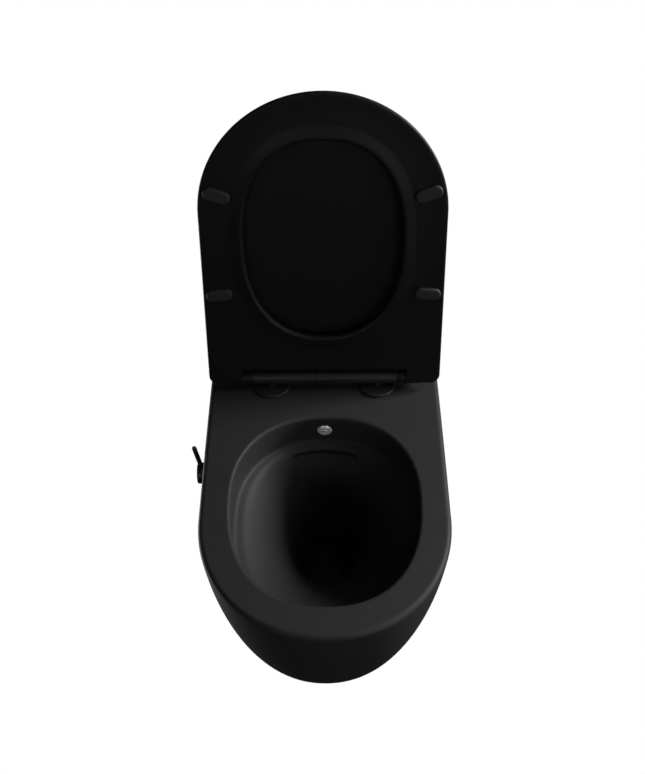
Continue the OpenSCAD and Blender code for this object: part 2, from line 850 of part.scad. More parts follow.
module seat() {
    color(plastic_black) opened() difference() {
        union() {
            difference() {
                seat_ring();
                translate([-notch_hw, -notch_l, -bar_r - 10]) cube([2 * notch_hw, 2 * notch_l, 30]);
            }
            both_sides() bar_x(bar_r, notch_hw, notch_hw + lug_w);
        }
        both_sides() bar_x(pin_r + play, notch_hw - through, notch_hw + lug_w - 2);
    }
}

module hinge_pins() {
    color(bright_steel) opened() both_sides()
        bar_x(pin_r, bar_l / 2 - 22, notch_hw + lug_w - 2.2);
}

// Buffer with round ends and a round-edged face, from a seat plane downwards
module buffer(l, w, h) {
    edge = 1.6;
    loft([
        for (s = [[0, 0], [0, h - edge], [0.5, h - 0.45], [edge, h]])
            [for (p = stadium(l - 2 * s[0], w - 2 * s[0])) [p[0], p[1], -s[1]]]
    ]);
}

module seat_buffers() {
    h = seat_gap - buffer_play;
    low = seat_gap - hinge_up;
    color(rubber_grey) opened() both_sides() {
        translate([buffer_front_x, -buffer_front, low]) rotate([0, 0, -buffer_front_turn])
            buffer(buffer_l, buffer_w, h);
        translate([buffer_rear_x, -buffer_rear, low]) rotate([0, 0, buffer_rear_turn])
            buffer(buffer_l, buffer_w, h);
    }
}

lid_low = seat_gap - hinge_up + seat_t + lid_gap;

// Rise of the lid's dome at a distance in from its edge
function dome(in) = lid_h * (1 - pow(1 - min(in / lid_border, 1), 3));

module lid_shell() {
    insets = [lid_border, 30, 20, 12, 6.5, 3, 0.8, 0];
    difference() {
        loft(concat(
            [for (s = insets)
                [for (p = seat_outline(lid_inset + s)) [p[0], p[1], lid_low + 1.2 + dome(s) * 0.915]]],
            [[for (p = seat_outline(lid_inset + 0.8)) [p[0], p[1], lid_low]]]
        ));
        loft([
            for (s = [[5, lid_hollow], [1.5, lid_hollow - 1.2], [0, lid_hollow - 4], [0, -through]])
                [for (p = seat_outline(lid_inset + lid_rim_w + s[0])) [p[0], p[1], lid_low + s[1]]]
        ]);
    }
}

module lid() {
    cut = bar_r + 3;
    color(plastic_black) opened() difference() {
        union() {
            difference() {
                lid_shell();
                translate([-notch_hw - lug_w - 1, -cut, -20])
                    cube([2 * (notch_hw + lug_w + 1), 4 * cut, 60]);
            }
            both_sides() translate([bar_l / 2 + side_gap, 0, 0]) {
                bar_x(bar_r, 0, knuckle_w);
                translate([0, -cut - 6, lid_low]) cube([knuckle_w, cut + 6, 7.5]);
            }
        }
        both_sides() bar_x(pin_r + play, bar_l / 2 - through, notch_hw + through);
    }
}

module lid_buffers() {
    h = lid_gap - buffer_play;
    color(rubber_grey) opened() both_sides() {
        translate([lid_buffer_front_x, -lid_buffer_front, lid_low - h])
            cylinder(r = lid_buffer_r, h = h);
        translate([lid_buffer_rear_x, -lid_buffer_rear, lid_low - h])
            cylinder(r = lid_buffer_r, h = h);
    }
}

// ---------------------------------------------------------------- bidet nozzle

// Frame of the nozzle: +Z out of the back wall into the bowl, at the face that its flange lies on
module at_nozzle() {
    translate([0, nozzle_y, nozzle_z]) rotate([90 + back_lean, 0, 0]) children();
}

tail_l = 33;

module nozzle_flange() {
    r = nozzle_flange_r;
    color(bright_steel) at_nozzle() rotate_extrude() polygon([
        [4.2, -tail_l], [nozzle_tail_r, -tail_l], [nozzle_tail_r, 0.5], [r, 0.5], [r, 1.4],
        [r - 0.5, 2.2], [r - 1.3, 2.4], [r - 2.6, 2], [r - 4, 1.2], [5.6, 0.7], [4.2, 0.4]
    ]);
}

module nozzle_jet() {
    color(bright_steel) at_nozzle() translate([0, 0, -10]) difference() {
        rotate_extrude() polygon([
            [1.2, 0], [4.2 - play, 0], [4.2 - play, 10.6], [3.6, 11.6], [2.4, 12], [1.2, 11.6]
        ]);
        translate([0, 0, -through]) cylinder(r = 1.1, h = 0.5);
    }
}

module nozzle_gasket() {
    color(rubber_grey) at_nozzle() difference() {
        cylinder(r = nozzle_flange_r - 1.5, h = 0.5);
        translate([0, 0, -through]) cylinder(r = nozzle_tail_r + snug, h = 4);
    }
}

module nozzle_nut() {
    color(brass) at_nozzle() translate([0, 0, -china - 4.6]) difference() {
        cylinder(r = 10, h = 4.6, $fn = 6);
        translate([0, 0, -through]) cylinder(r = nozzle_tail_r + play, h = 8);
    }
}

elbow_z = -tail_l + 3.6;

module nozzle_elbow() {
    color(plastic_black) at_nozzle() difference() {
        union() {
            translate([0, 0, elbow_z - 8]) cylinder(r = 8.4, h = 13);
            translate([0, 0, elbow_z - 2]) bar_x(pipe_r + 2, -18, 0);
        }
        translate([0, 0, elbow_z - 3.6]) cylinder(r = nozzle_tail_r + play, h = 20);
        translate([0, 0, elbow_z - 2]) bar_x(pipe_r + play, -18 - through, -7);
    }
}

elbow_y = nozzle_y - (elbow_z - 2) * cos(back_lean);
elbow_z_row = nozzle_z - (elbow_z - 2) * sin(back_lean);
port_x = -(flank_hw(valve_l, valve_depth) - china - 13);
port_y = -valve_l + shank_r + 6;

module feed_pipe() {
    run_x = port_x;
    high = elbow_z_row;
    low = valve_z + 6.5;
    route = [
        [-8, elbow_y, high], [-26, elbow_y, high], [-60, elbow_y, high],
        [-100, elbow_y, high - 1], [run_x + 22, elbow_y, high - 5], [run_x + 8, elbow_y - 2, high - 9],
        [run_x + 1.5, elbow_y - 9, high - 14], [run_x, elbow_y - 20, low + 5],
        [run_x, elbow_y - 36, low + 1], [run_x, port_y + 14, low], [run_x, port_y - 4, low]
    ];
    color(bright_steel) sweep(route, [for (p = route) pipe_r], 12);
}

// ---------------------------------------------------------------- bidet valve

// Frame of the valve: +Z out of the left flank, at the face that the escutcheon lies on
valve_seat = flank_hw(valve_l, valve_depth + hub_r) - 0.8;

module at_valve() {
    translate([-valve_seat, -valve_l, valve_z]) rotate([0, -90, 0]) children();
}

// The nut bears on the china's inner face
nut_z = -(valve_seat - (flank_hw(valve_l, valve_depth) - china));
body_end = nut_z - 21;

module valve_body() {
    color(brass) difference() {
        union() {
            at_valve() translate([0, 0, body_end]) cylinder(r = shank_r, h = -body_end + 1.5);
            for (z = [-6.5, 6.5])
                translate([port_x, 0, valve_z + z]) bar_y(pipe_r + 1.2, -valve_l, port_y);
        }
        at_valve() translate([0, 0, body_end + 5]) cylinder(r = spindle_r + play, h = -body_end);
        at_valve() translate([0, 0, body_end + 5]) cylinder(r = 7.5 + play, h = 6);
        for (z = [-6.5, 6.5])
            translate([port_x, 0, valve_z + z]) bar_y(pipe_r + play, port_y - 6, port_y + through);
    }
}

module valve_escutcheon() {
    color(plastic_black) at_valve() rotate_extrude() polygon([
        [shank_r + play, 0], [escutcheon_r, 0], [escutcheon_r, escutcheon_t - 0.6],
        [escutcheon_r - 0.6, escutcheon_t], [spindle_r + 0.3, escutcheon_t], [spindle_r + 0.3, 1.7],
        [shank_r + play, 1.7]
    ]);
}

module valve_nut() {
    color(brass) at_valve() translate([0, 0, nut_z - 6]) difference() {
        cylinder(r = shank_r + 3.4, h = 6, $fn = 6);
        translate([0, 0, -through]) cylinder(r = shank_r + play, h = 10);
    }
}

module supply_pipe() {
    color(bright_steel) translate([port_x, 0, valve_z - 6.5]) {
        bar_y(pipe_r, port_y - 4, -nipple_l - 1);
        bar_y(nipple_r, -nipple_l - 2, -2);
    }
}

// ---------------------------------------------------------------- lever

hub_z = escutcheon_t + side_gap;

module lever_hub() {
    r = hub_r;
    t = hub_t;
    color(plastic_black) difference() {
        at_valve() translate([0, 0, hub_z]) rotate_extrude() polygon([
            [0, 0], [r - 0.6, 0], [r, 0.6], [r, t - 2.4], [r - 0.8, t - 0.8], [r - 2.4, t], [0, t]
        ]);
        at_valve() translate([0, 0, hub_z - through])
            cylinder(r = spindle_r + 0.02, h = t - 3 + through);
        at_lever() translate([0, 0, 8]) cylinder(r = lever_r + 0.02, h = lever_l);
    }
}

// Frame of the pin lever: +Z along it, from the middle of the hub
module at_lever() {
    at_valve() translate([0, 0, hub_z + hub_t / 2 - 1]) rotate([0, 0, lever_back])
        rotate([0, 90 - lever_out, 0]) children();
}

module lever_pin() {
    color(plastic_black) at_lever() union() {
        translate([0, 0, 8.2]) cylinder(r = lever_r, h = lever_l - lever_r - 8.2);
        translate([0, 0, lever_l - lever_r]) sphere(r = lever_r);
    }
}

module valve_spindle() {
    color(brass) at_valve() translate([0, 0, body_end + 9])
        cylinder(r = spindle_r, h = hub_z + hub_t - 3.2 - body_end - 9);
}

module valve_disc() {
    color(clear_plastic) at_valve() translate([0, 0, body_end + 5.3]) cylinder(r = 7.5, h = 3.5);
}

pan();
wall_sleeves();
wall_washers();
wall_nuts();
flank_caps();
hinge_base_plates();
hinge_rosettes();
hinge_posts();
hinge_studs();
expansion_sleeves();
sleeve_nuts();
hinge_bar();
damper_cartridges();
button_spring();
release_button();
seat();
seat_buffers();
hinge_pins();
lid();
lid_buffers();
nozzle_flange();
nozzle_jet();
nozzle_gasket();
nozzle_nut();
nozzle_elbow();
feed_pipe();
valve_body();
valve_escutcheon();
valve_nut();
supply_pipe();
lever_hub();
lever_pin();
valve_spindle();
valve_disc();
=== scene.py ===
"""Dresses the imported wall-hung toilet: glazed pan, moulded seat and lid, hinge, bidet nozzle and valve."""
import logging
import math
from dataclasses import dataclass
from enum import Enum
from typing import Callable, Iterable, Optional, Sequence, Union

import bmesh
import bpy
import numpy as np
from mathutils import Matrix, Vector


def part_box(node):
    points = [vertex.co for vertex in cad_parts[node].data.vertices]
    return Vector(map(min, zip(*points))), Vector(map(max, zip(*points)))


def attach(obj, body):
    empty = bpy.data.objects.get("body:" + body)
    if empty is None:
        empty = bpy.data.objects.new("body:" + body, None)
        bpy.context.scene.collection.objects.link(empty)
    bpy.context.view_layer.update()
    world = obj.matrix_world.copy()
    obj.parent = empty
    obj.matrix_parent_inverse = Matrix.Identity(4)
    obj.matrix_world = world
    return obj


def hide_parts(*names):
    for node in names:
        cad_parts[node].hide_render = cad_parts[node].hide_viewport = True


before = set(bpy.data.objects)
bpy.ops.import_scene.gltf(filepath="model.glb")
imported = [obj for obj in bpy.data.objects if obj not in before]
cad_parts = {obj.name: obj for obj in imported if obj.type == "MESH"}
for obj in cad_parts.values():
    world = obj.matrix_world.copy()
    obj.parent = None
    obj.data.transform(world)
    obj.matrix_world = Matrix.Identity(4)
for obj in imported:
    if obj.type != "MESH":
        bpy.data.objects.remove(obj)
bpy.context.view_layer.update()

MM = 0.001
ON_AXIS = 0.001  # radius of a profile's point on its axis, in millimetres
PUSH_FIT = 0.05  # room between parts that fit into each other, in millimetres
PIPE_RADIUS = 4.0  # outer radius of the bidet's pipes, in millimetres
log = logging.getLogger("toilet")

Number = Union[float, "Wire"]
Ring = np.ndarray


# ------------------------------------------------------------------ node graphs


def operator(operation: str, swapped: bool = False) -> Callable[["Wire", Number], "Wire"]:
    """Makes a method that adds one Math node.

    Args:
        operation: what the node does.
        swapped: whether the other value comes first.

    Returns:
        The method.
    """

    def method(self: "Wire", other: Number) -> "Wire":
        """Adds the node and returns its output."""
        terms = (other, self) if swapped else (self, other)
        return self.graph.add("ShaderNodeMath", {"operation": operation}, dict(enumerate(terms)))[0]

    return method


class Wire:
    """An output socket that can stand in a Python expression."""

    def __init__(self, graph: "Graph", socket: bpy.types.NodeSocket) -> None:
        """Keeps the graph and the socket."""
        self.graph = graph
        self.socket = socket

    __add__ = operator("ADD")
    __radd__ = operator("ADD", swapped=True)
    __sub__ = operator("SUBTRACT")
    __rsub__ = operator("SUBTRACT", swapped=True)
    __mul__ = operator("MULTIPLY")
    __rmul__ = operator("MULTIPLY", swapped=True)
    __truediv__ = operator("DIVIDE")
    __pow__ = operator("POWER")
    least = operator("MINIMUM")


class Made:
    """A node that has been added, whose outputs are read by name or number."""

    def __init__(self, graph: "Graph", node: bpy.types.Node) -> None:
        """Keeps the graph and the node."""
        self.graph = graph
        self.node = node

    def __getitem__(self, key: Union[int, str]) -> Wire:
        """One output as a wire."""
        return Wire(self.graph, self.node.outputs[key])


class Graph:
    """Writes one node tree."""

    def __init__(self, tree: bpy.types.NodeTree) -> None:
        """Starts from an empty tree."""
        self.tree = tree
        tree.nodes.clear()

    def add(self, kind: str, settings: Optional[dict] = None, sockets: Optional[dict] = None) -> Made:
        """Adds a node of any type.

        Args:
            kind: Blender's name of the node type.
            settings: properties that are set first; "stops" fills a colour ramp.
            sockets: values or wires for the inputs, by name or number.

        Returns:
            The node, ready for its outputs to be read.
        """
        node = self.tree.nodes.new(kind)
        for name, value in (settings or {}).items():
            if name == "stops":
                self._fill_ramp(node, value)
            else:
                setattr(node, name, value)
        for key, value in (sockets or {}).items():
            target = node.inputs[key]
            if isinstance(value, Wire):
                self.tree.links.new(value.socket, target)
            else:
                target.default_value = value
        return Made(self, node)

    @staticmethod
    def _fill_ramp(node: bpy.types.Node, stops: Sequence[tuple]) -> None:
        """Gives a colour ramp its stops, each a place and a grey level."""
        elements = node.color_ramp.elements
        while len(elements) < len(stops):
            elements.new(0.5)
        for element, (place, grey) in zip(elements, stops):
            element.position = place
            element.color = (grey, grey, grey, 1.0)


class Grain(Enum):
    """How the surface of a material is broken up."""

    GLAZE = "glaze"
    SPARK = "spark erosion"
    PEEL = "orange peel"
    BRUSHED = "brushed"
    TURNED = "turned"
    POLISHED = "polished"


@dataclass(frozen=True)
class Finish:
    """A surface finish that is written out as one procedural material.

    Colours are linear, sizes are in metres. Roughness wanders by the three shares of wander, for the broad
    pattern, the patches and the fine grain.
    """

    slot: str
    colour: tuple[float, float, float]
    roughness: float
    grain: Grain
    grain_size: float
    relief: float
    metallic: float = 0.0
    coat: float = 0.0
    mottle: float = 0.06
    specular: float = 0.5
    coat_roughness: float = 0.25
    bump: float = 0.55
    broad_size: float = 0.045
    patch_size: float = 0.19
    wander: tuple[float, float, float] = (0.07, 0.05, 0.04)

    def material(self) -> bpy.types.Material:
        """Writes the material.

        Returns:
            The material, named after its slot.
        """
        material = bpy.data.materials.new(f"{self.slot}_finish")
        material.use_nodes = True
        graph = Graph(material.node_tree)
        place = graph.add("ShaderNodeTexCoord")["Object"]
        fine = self._fine(graph, place)
        broad = self._noise(graph, place, self.broad_size, 2.0)
        patch = self._noise(graph, place, self.patch_size, 1.0)
        height = graph.add(
            "ShaderNodeBump",
            None,
            {"Strength": self.bump, "Distance": self.relief, "Height": fine + broad * 0.4},
        )
        rough = self.roughness
        for pattern, share in zip((broad, patch, fine), self.wander):
            rough = rough + (pattern - 0.5) * share
        tint = graph.add(
            "ShaderNodeMix",
            {"data_type": "RGBA"},
            {
                "Factor": (broad * 0.6 + fine * 0.4).least(1.0),
                "A": self._shade(1.0 - self.mottle),
                "B": self._shade(1.0 + self.mottle),
            },
        )
        shader = graph.add(
            "ShaderNodeBsdfPrincipled",
            None,
            {
                "Base Color": tint["Result"],
                "Roughness": rough,
                "Metallic": self.metallic,
                "Specular IOR Level": self.specular,
                "Coat Weight": self.coat,
                "Coat Roughness": self.coat_roughness,
                "Normal": height["Normal"],
            },
        )
        graph.add("ShaderNodeOutputMaterial", None, {"Surface": shader["BSDF"]})
        return material

    def _shade(self, factor: float) -> tuple[float, float, float, float]:
        """The finish's colour, lightened or darkened."""
        red, green, blue = (min(1.0, part * factor) for part in self.colour)
        return (red, green, blue, 1.0)

    @staticmethod
    def _noise(graph: Graph, place: Wire, size: float, detail: float) -> Wire:
        """Plain noise whose features are about one size across, in metres."""
        return graph.add(
            "ShaderNodeTexNoise", None, {"Vector": place, "Scale": 1.0 / size, "Detail": detail}
        )["Fac"]

    def _fine(self, graph: Graph, place: Wire) -> Wire:
        """The fine pattern of the finish, from 0 to 1.

        Args:
            graph: the material's graph.
            place: the place on the surface.

        Returns:
            The pattern's height.
        """
        if self.grain is Grain.BRUSHED:
            along = graph.add(
                "ShaderNodeMapping", None, {"Vector": place, "Scale": (0.04, 1.0, 1.0)}
            )["Vector"]
            return self._noise(graph, along, self.grain_size, 3.0)
        if self.grain is Grain.TURNED:
            rings = graph.add(
                "ShaderNodeTexWave",
                {"wave_type": "BANDS", "bands_direction": "X"},
                {"Vector": place, "Scale": 0.2 / self.grain_size, "Distortion": 0.6},
            )["Fac"]
            return rings * 0.6 + self._noise(graph, place, self.grain_size * 3.0, 2.0) * 0.4
        if self.grain is Grain.GLAZE:
            pits = graph.add(
                "ShaderNodeTexVoronoi", {"feature": "F1"}, {"Vector": place, "Scale": 1.0 / self.grain_size}
            )["Distance"]
            return pits.least(1.0) * 0.3 + self._noise(graph, place, self.grain_size * 6.0, 3.0) * 0.7
        if self.grain is Grain.PEEL:
            return self._noise(graph, place, self.grain_size, 1.0)
        return self._noise(graph, place, self.grain_size, 4.0)


class Look(Enum):
    """The finishes of this object, one for each material slot."""

    CHINA = Finish("china", (0.026, 0.0263, 0.0272), 0.62, Grain.GLAZE, 0.0016, 0.00006, specular=0.3)
    SEAT = Finish(
        "seat_plastic", (0.0096, 0.0098, 0.0102), 0.44, Grain.SPARK, 0.0007, 0.00005, specular=0.24
    )
    HINGE = Finish("hinge_plastic", (0.015, 0.0152, 0.0158), 0.46, Grain.SPARK, 0.0006, 0.00004)
    VALVE = Finish("valve_black", (0.02, 0.0205, 0.0215), 0.42, Grain.PEEL, 0.0012, 0.00005)
    RUBBER = Finish("rubber", (0.02, 0.0203, 0.021), 0.66, Grain.SPARK, 0.0009, 0.00007)
    # Chrome of the nozzle and its thread: the coat and the small metallic share give real reflections, but
    # the near-white diffuse base colour is painted reflection. It stands in for the bright surround that
    # polished chrome would mirror.
    CHROME = Finish(
        "chrome", (0.95, 0.95, 0.95), 0.22, Grain.POLISHED, 0.003, 0.00001, metallic=0.3, coat=0.5
    )
    ZINC = Finish("zinc_steel", (0.4, 0.41, 0.43), 0.44, Grain.BRUSHED, 0.0006, 0.00003, metallic=0.9)
    BRASS = Finish("brass", (0.62, 0.45, 0.19), 0.28, Grain.TURNED, 0.0004, 0.00003, metallic=1.0)
    FITTING = Finish("fitting_plastic", (0.04, 0.04, 0.043), 0.5, Grain.SPARK, 0.0006, 0.00005)
    NATURAL = Finish("clear_plastic", (0.62, 0.6, 0.53), 0.42, Grain.SPARK, 0.0008, 0.00004)


class Palette:
    """Makes each finish once and puts it on pieces."""

    def __init__(self) -> None:
        """Starts with nothing made."""
        self._made: dict[Look, bpy.types.Material] = {}

    def material(self, look: Look) -> bpy.types.Material:
        """The material of a finish, made the first time it is asked for."""
        if look not in self._made:
            self._made[look] = look.value.material()
        return self._made[look]

    def dress(self, piece: bpy.types.Object, look: Look) -> None:
        """Puts a finish on a piece.

        Args:
            piece: the piece.
            look: its finish.
        """
        piece.data.materials.clear()
        piece.data.materials.append(self.material(look))

    def fit(self, piece: bpy.types.Object, look: Look, body: str, node: str, sharp: float = 40.0) -> None:
        """Shades and dresses a piece, lets it stand for a CAD node and lets it ride on a body.

        Args:
            piece: the piece.
            look: its finish.
            body: the body that it moves with.
            node: the CAD node that it replaces.
            sharp: edges that turn by more than this, in degrees, stay sharp.
        """
        self.dress(soften(piece, sharp), look)
        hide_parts(node)
        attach(piece, body)


# ------------------------------------------------------------------ mesh helpers


def spow(values: np.ndarray, power: float) -> np.ndarray:
    """Power that keeps the sign, for superellipses."""
    return np.sign(values) * np.abs(values) ** power


def fan(start: float, end: float, count: int) -> np.ndarray:
    """Evenly spaced angles in radians, between two that are given in degrees."""
    return np.radians(np.linspace(start, end, count))


def full_turn(sides: int) -> np.ndarray:
    """Angles of a full turn in radians, without the last."""
    return np.linspace(0.0, 2.0 * math.pi, sides, endpoint=False)


def solid(name: str, points: np.ndarray, faces: Iterable[Sequence[int]]) -> bpy.types.Object:
    """Makes an object from points in millimetres.

    Args:
        name: the object's name.
        points: an array of points, three numbers each.
        faces: lists of point numbers.

    Returns:
        The object, at the origin, with its faces turned outwards.
    """
    mesh = bpy.data.meshes.new(name)
    mesh.from_pydata((np.asarray(points, float) * MM).tolist(), [], [list(f) for f in faces])
    work = bmesh.new()
    work.from_mesh(mesh)
    bmesh.ops.remove_doubles(work, verts=work.verts, dist=1e-7)
    bmesh.ops.recalc_face_normals(work, faces=work.faces)
    work.to_mesh(mesh)
    work.free()
    piece = bpy.data.objects.new(name, mesh)
    bpy.context.scene.collection.objects.link(piece)
    return piece


def loft(name: str, rings: Sequence[Ring], closed: bool = False) -> bpy.types.Object:
    """Skins closed rings of equal length.

    Args:
        name: the object's name.
        rings: the rings in order, in millimetres.
        closed: whether the last ring joins the first, as in a torus; otherwise both ends get a cap.

    Returns:
        The object.
    """
    count = len(rings[0])
    rows = len(rings)
    faces = []
    for i in range(rows if closed else rows - 1):
        here, there = i * count, (i + 1) % rows * count
        for j in range(count):
            k = (j + 1) % count
            faces.append((here + j, here + k, there + k, there + j))
    if not closed:
        faces.append(range(count))
        faces.append(range((rows - 1) * count, rows * count))
    return solid(name, np.concatenate(rings), faces)


def revolve(
    name: str, profile: Sequence[tuple[float, float]], place: Matrix, sides: int = 96
) -> bpy.types.Object:
    """Turns a closed profile about the local Z axis.

    Args:
        name: the object's name.
        profile: radius and height of each point, in millimetres.
        place: where the local frame stands, in millimetres.
        sides: how many steps the turn has.

    Returns:
        The object.
    """
    angles = full_turn(sides)
    rings = [np.array([[r * math.cos(a), r * math.sin(a), z] for r, z in profile]) for a in angles]
    return loft(name, [moved(ring, place) for ring in rings], closed=True)


def moved(points: np.ndarray, place: Matrix) -> np.ndarray:
    """Points after a 4 by 4 placing."""
    matrix = np.array(place)
    return points @ matrix[:3, :3].T + matrix[:3, 3]


def rounded(corners: Sequence[tuple[float, float, float]], steps: int = 5) -> list[tuple[float, float]]:
    """Rounds the corners of a closed profile.

    Args:
        corners: radius, height and rounding of each corner, in millimetres.
        steps: how many steps each rounding has.

    Returns:
        The profile's points.
    """
    points: list[tuple[float, float]] = []
    count = len(corners)
    for i, (x, y, r) in enumerate(corners):
        here = np.array([x, y])
        if r <= 0:
            points.append((x, y))
            continue
        before = np.array(corners[i - 1][:2]) - here
        after = np.array(corners[(i + 1) % count][:2]) - here
        start = here + before / np.linalg.norm(before) * r
        end = here + after / np.linalg.norm(after) * r
        for t in np.linspace(0.0, 1.0, steps + 1):
            spot = (1 - t) ** 2 * start + 2 * t * (1 - t) * here + t**2 * end
            points.append((float(spot[0]), float(spot[1])))
    return points


def block(name: str, low: Sequence[float], high: Sequence[float]) -> bpy.types.Object:
    """A plain box, for cutting or joining.

    Args:
        name: the object's name.
        low: its lowest corner, in millimetres.
        high: its highest corner.

    Returns:
        The box.
    """
    (x1, y1, z1), (x2, y2, z2) = low, high
    lower = np.array([[x1, y1, z1], [x2, y1, z1], [x2, y2, z1], [x1, y2, z1]])
    return loft(name, [lower, lower + [0, 0, z2 - z1]])


def rod(
    name: str, radius: float, place: Matrix, low: float, high: float, sides: int = 72
) -> bpy.types.Object:
    """A plain round bar along the local Z axis, for cutting or joining.

    Args:
        name: the object's name.
        radius: its radius, in millimetres.
        place: the frame that it stands in.
        low: where it begins on the local Z axis.
        high: where it ends.
        sides: how many sides it has.

    Returns:
        The bar.
    """
    angles = full_turn(sides)
    circle = np.stack([radius * np.cos(angles), radius * np.sin(angles), 0 * angles], axis=1)
    return loft(name, [moved(circle + [0, 0, z], place) for z in (low, high)])


def sweep(name: str, path: np.ndarray, radii: Sequence[float], sides: int) -> bpy.types.Object:
    """A tube along a path, for cutting.

    Args:
        name: the object's name.
        path: the path's points, in millimetres.
        radii: the tube's radius at each point.
        sides: how many sides the tube has.

    Returns:
        The object.
    """
    tangents = np.gradient(path, axis=0)
    tangents /= np.linalg.norm(tangents, axis=1)[:, None]
    side = np.array([1.0, 0.0, 0.0])
    angles = full_turn(sides)
    rings = []
    for point, tangent, radius in zip(path, tangents, radii):
        up = np.cross(tangent, side)
        up /= np.linalg.norm(up)
        rings.append(point + radius * (np.outer(np.cos(angles), side) + np.outer(np.sin(angles), up)))
    return loft(name, rings)


def smooth_path(points: Sequence[Sequence[float]], steps: int) -> np.ndarray:
    """Catmull-Rom curve through a few points.

    Args:
        points: the points to pass through.
        steps: how many steps lie between two points.

    Returns:
        The curve's points.
    """
    knots = np.array(points, float)
    padded = np.vstack([2 * knots[0] - knots[1], knots, 2 * knots[-1] - knots[-2]])
    curve = []
    for i in range(1, len(padded) - 2):
        a, b, c, d = padded[i - 1 : i + 3]
        for t in np.linspace(0.0, 1.0, steps, endpoint=False):
            square, cube = 2 * a - 5 * b + 4 * c - d, 3 * b - a - 3 * c + d
            curve.append(0.5 * (2 * b + (c - a) * t + square * t**2 + cube * t**3))
    curve.append(knots[-1])
    return np.array(curve)


def evaluated(piece: bpy.types.Object) -> bpy.types.Object:
    """Turns an object's live modifiers into a plain mesh and removes them.

    Args:
        piece: a mesh or curve object.

    Returns:
        The same object, or for a curve a mesh object of its name.
    """
    bpy.context.view_layer.update()
    graph = bpy.context.evaluated_depsgraph_get()
    mesh = bpy.data.meshes.new_from_object(piece.evaluated_get(graph))
    old = piece.data
    if piece.type != "MESH":
        name = piece.name
        bpy.data.objects.remove(piece)
        fresh = bpy.data.objects.new(name, mesh)
        bpy.context.scene.collection.objects.link(fresh)
        return fresh
    piece.modifiers.clear()
    piece.data = mesh
    if old.users == 0:
        bpy.data.meshes.remove(old)
    return piece


def combine(piece: bpy.types.Object, tools: Sequence[bpy.types.Object], operation: str) -> bpy.types.Object:
    """Cuts tools out of a piece, or joins them to it.

    Args:
        piece: the piece to change.
        tools: closed meshes, which are removed afterwards.
        operation: DIFFERENCE or UNION.

    Returns:
        The piece.
    """
    for tool in tools:
        step = piece.modifiers.new(tool.name, "BOOLEAN")
        step.operation = operation
        step.solver = "EXACT"
        step.object = tool
    evaluated(piece)
    for tool in tools:
        bpy.data.objects.remove(tool)
    return piece


def joined(name: str, pieces: Sequence[bpy.types.Object]) -> bpy.types.Object:
    """Puts several meshes into one object.

    Args:
        name: the object's name.
        pieces: the objects, which are removed.

    Returns:
        The object.
    """
    work = bmesh.new()
    for piece in pieces:
        work.from_mesh(piece.data)
        bpy.data.objects.remove(piece)
    mesh = bpy.data.meshes.new(name)
    work.to_mesh(mesh)
    work.free()
    result = bpy.data.objects.new(name, mesh)
    bpy.context.scene.collection.objects.link(result)
    return result


def peg(name: str, radius: float, place: Matrix, ends: tuple[float, float], edges: tuple[float, float],
        sides: int = 96, steps: int = 5) -> bpy.types.Object:
    """A round bar along the local Z axis with rounded edges.

    Args:
        name: the object's name.
        radius: its radius, in millimetres.
        place: the frame that it stands in.
        ends: where it begins and ends on the local Z axis.
        edges: radius of the edge at each end.
        sides: how many sides it has.
        steps: how many steps each edge has.

    Returns:
        The bar.
    """
    (low, high), (first, last) = ends, edges
    profile = [(ON_AXIS, low, 0), (radius, low, first), (radius, high, last), (ON_AXIS, high, 0)]
    return revolve(name, rounded(profile, steps), place, sides)


def soften(piece: bpy.types.Object, degrees: float) -> bpy.types.Object:
    """Shades a piece smoothly, with sharp edges beyond an angle.

    Args:
        piece: the piece.
        degrees: edges that turn by more than this stay sharp.

    Returns:
        The piece.
    """
    piece.data.shade_smooth()
    piece.data.set_sharp_from_angle(angle=math.radians(degrees))
    return piece


def bevelled(piece: bpy.types.Object, width: float, degrees: float = 50.0) -> bpy.types.Object:
    """Rounds the sharp edges of a piece.

    Args:
        piece: the piece to change.
        width: the rounding's width, in millimetres.
        degrees: edges that turn by more than this are rounded.

    Returns:
        The piece.
    """
    step = piece.modifiers.new("edge", "BEVEL")
    step.width = width * MM
    step.segments = 3
    step.limit_method = "ANGLE"
    step.angle_limit = math.radians(degrees)
    step.harden_normals = False
    step.use_clamp_overlap = True
    return evaluated(piece)


def turned(degrees: float, axis: str) -> Matrix:
    """A turn in degrees about a named axis."""
    return Matrix.Rotation(math.radians(degrees), 4, axis)


def frame_at(origin: Sequence[float], *turns: tuple[float, str]) -> Matrix:
    """A placing.

    Args:
        origin: its point, in millimetres.
        turns: turns about named local axes, in degrees, one after the other.

    Returns:
        The placing.
    """
    matrix = Matrix.Translation(Vector(origin))
    for degrees, axis in turns:
        matrix = matrix @ turned(degrees, axis)
    return matrix


def stand(piece: bpy.types.Object, place: Matrix) -> None:
    """Moves a piece that is drawn at the origin to its place.

    Args:
        piece: the piece.
        place: its placing, in millimetres.
    """
    matrix = place.copy()
    matrix.translation = matrix.translation * MM
    piece.data.transform(matrix)


def stadium(length: float, width: float, steps: int) -> np.ndarray:
    """Outline with two round ends.

    Args:
        length: its whole length, in millimetres.
        width: its width.
        steps: how many steps each end has.

    Returns:
        Its points as x and y.
    """
    radius, straight = width / 2, (length - width) / 2
    right = []
    for a in fan(-90, 90, steps + 1):
        right.append((straight + radius * math.cos(a), radius * math.sin(a)))
    return np.array(right + [(-x, -y) for x, y in right])


def level(outline: np.ndarray, z: float) -> np.ndarray:
    """A flat outline raised to a height."""
    return np.column_stack([outline, np.full(len(outline), z)])


def from_edge(edge: str, points: Iterable[tuple[float, float]]) -> list[tuple[str, float, float]]:
    """Points of a section, each with the name of the edge that it is measured from."""
    return [(edge, x, z) for x, z in points]


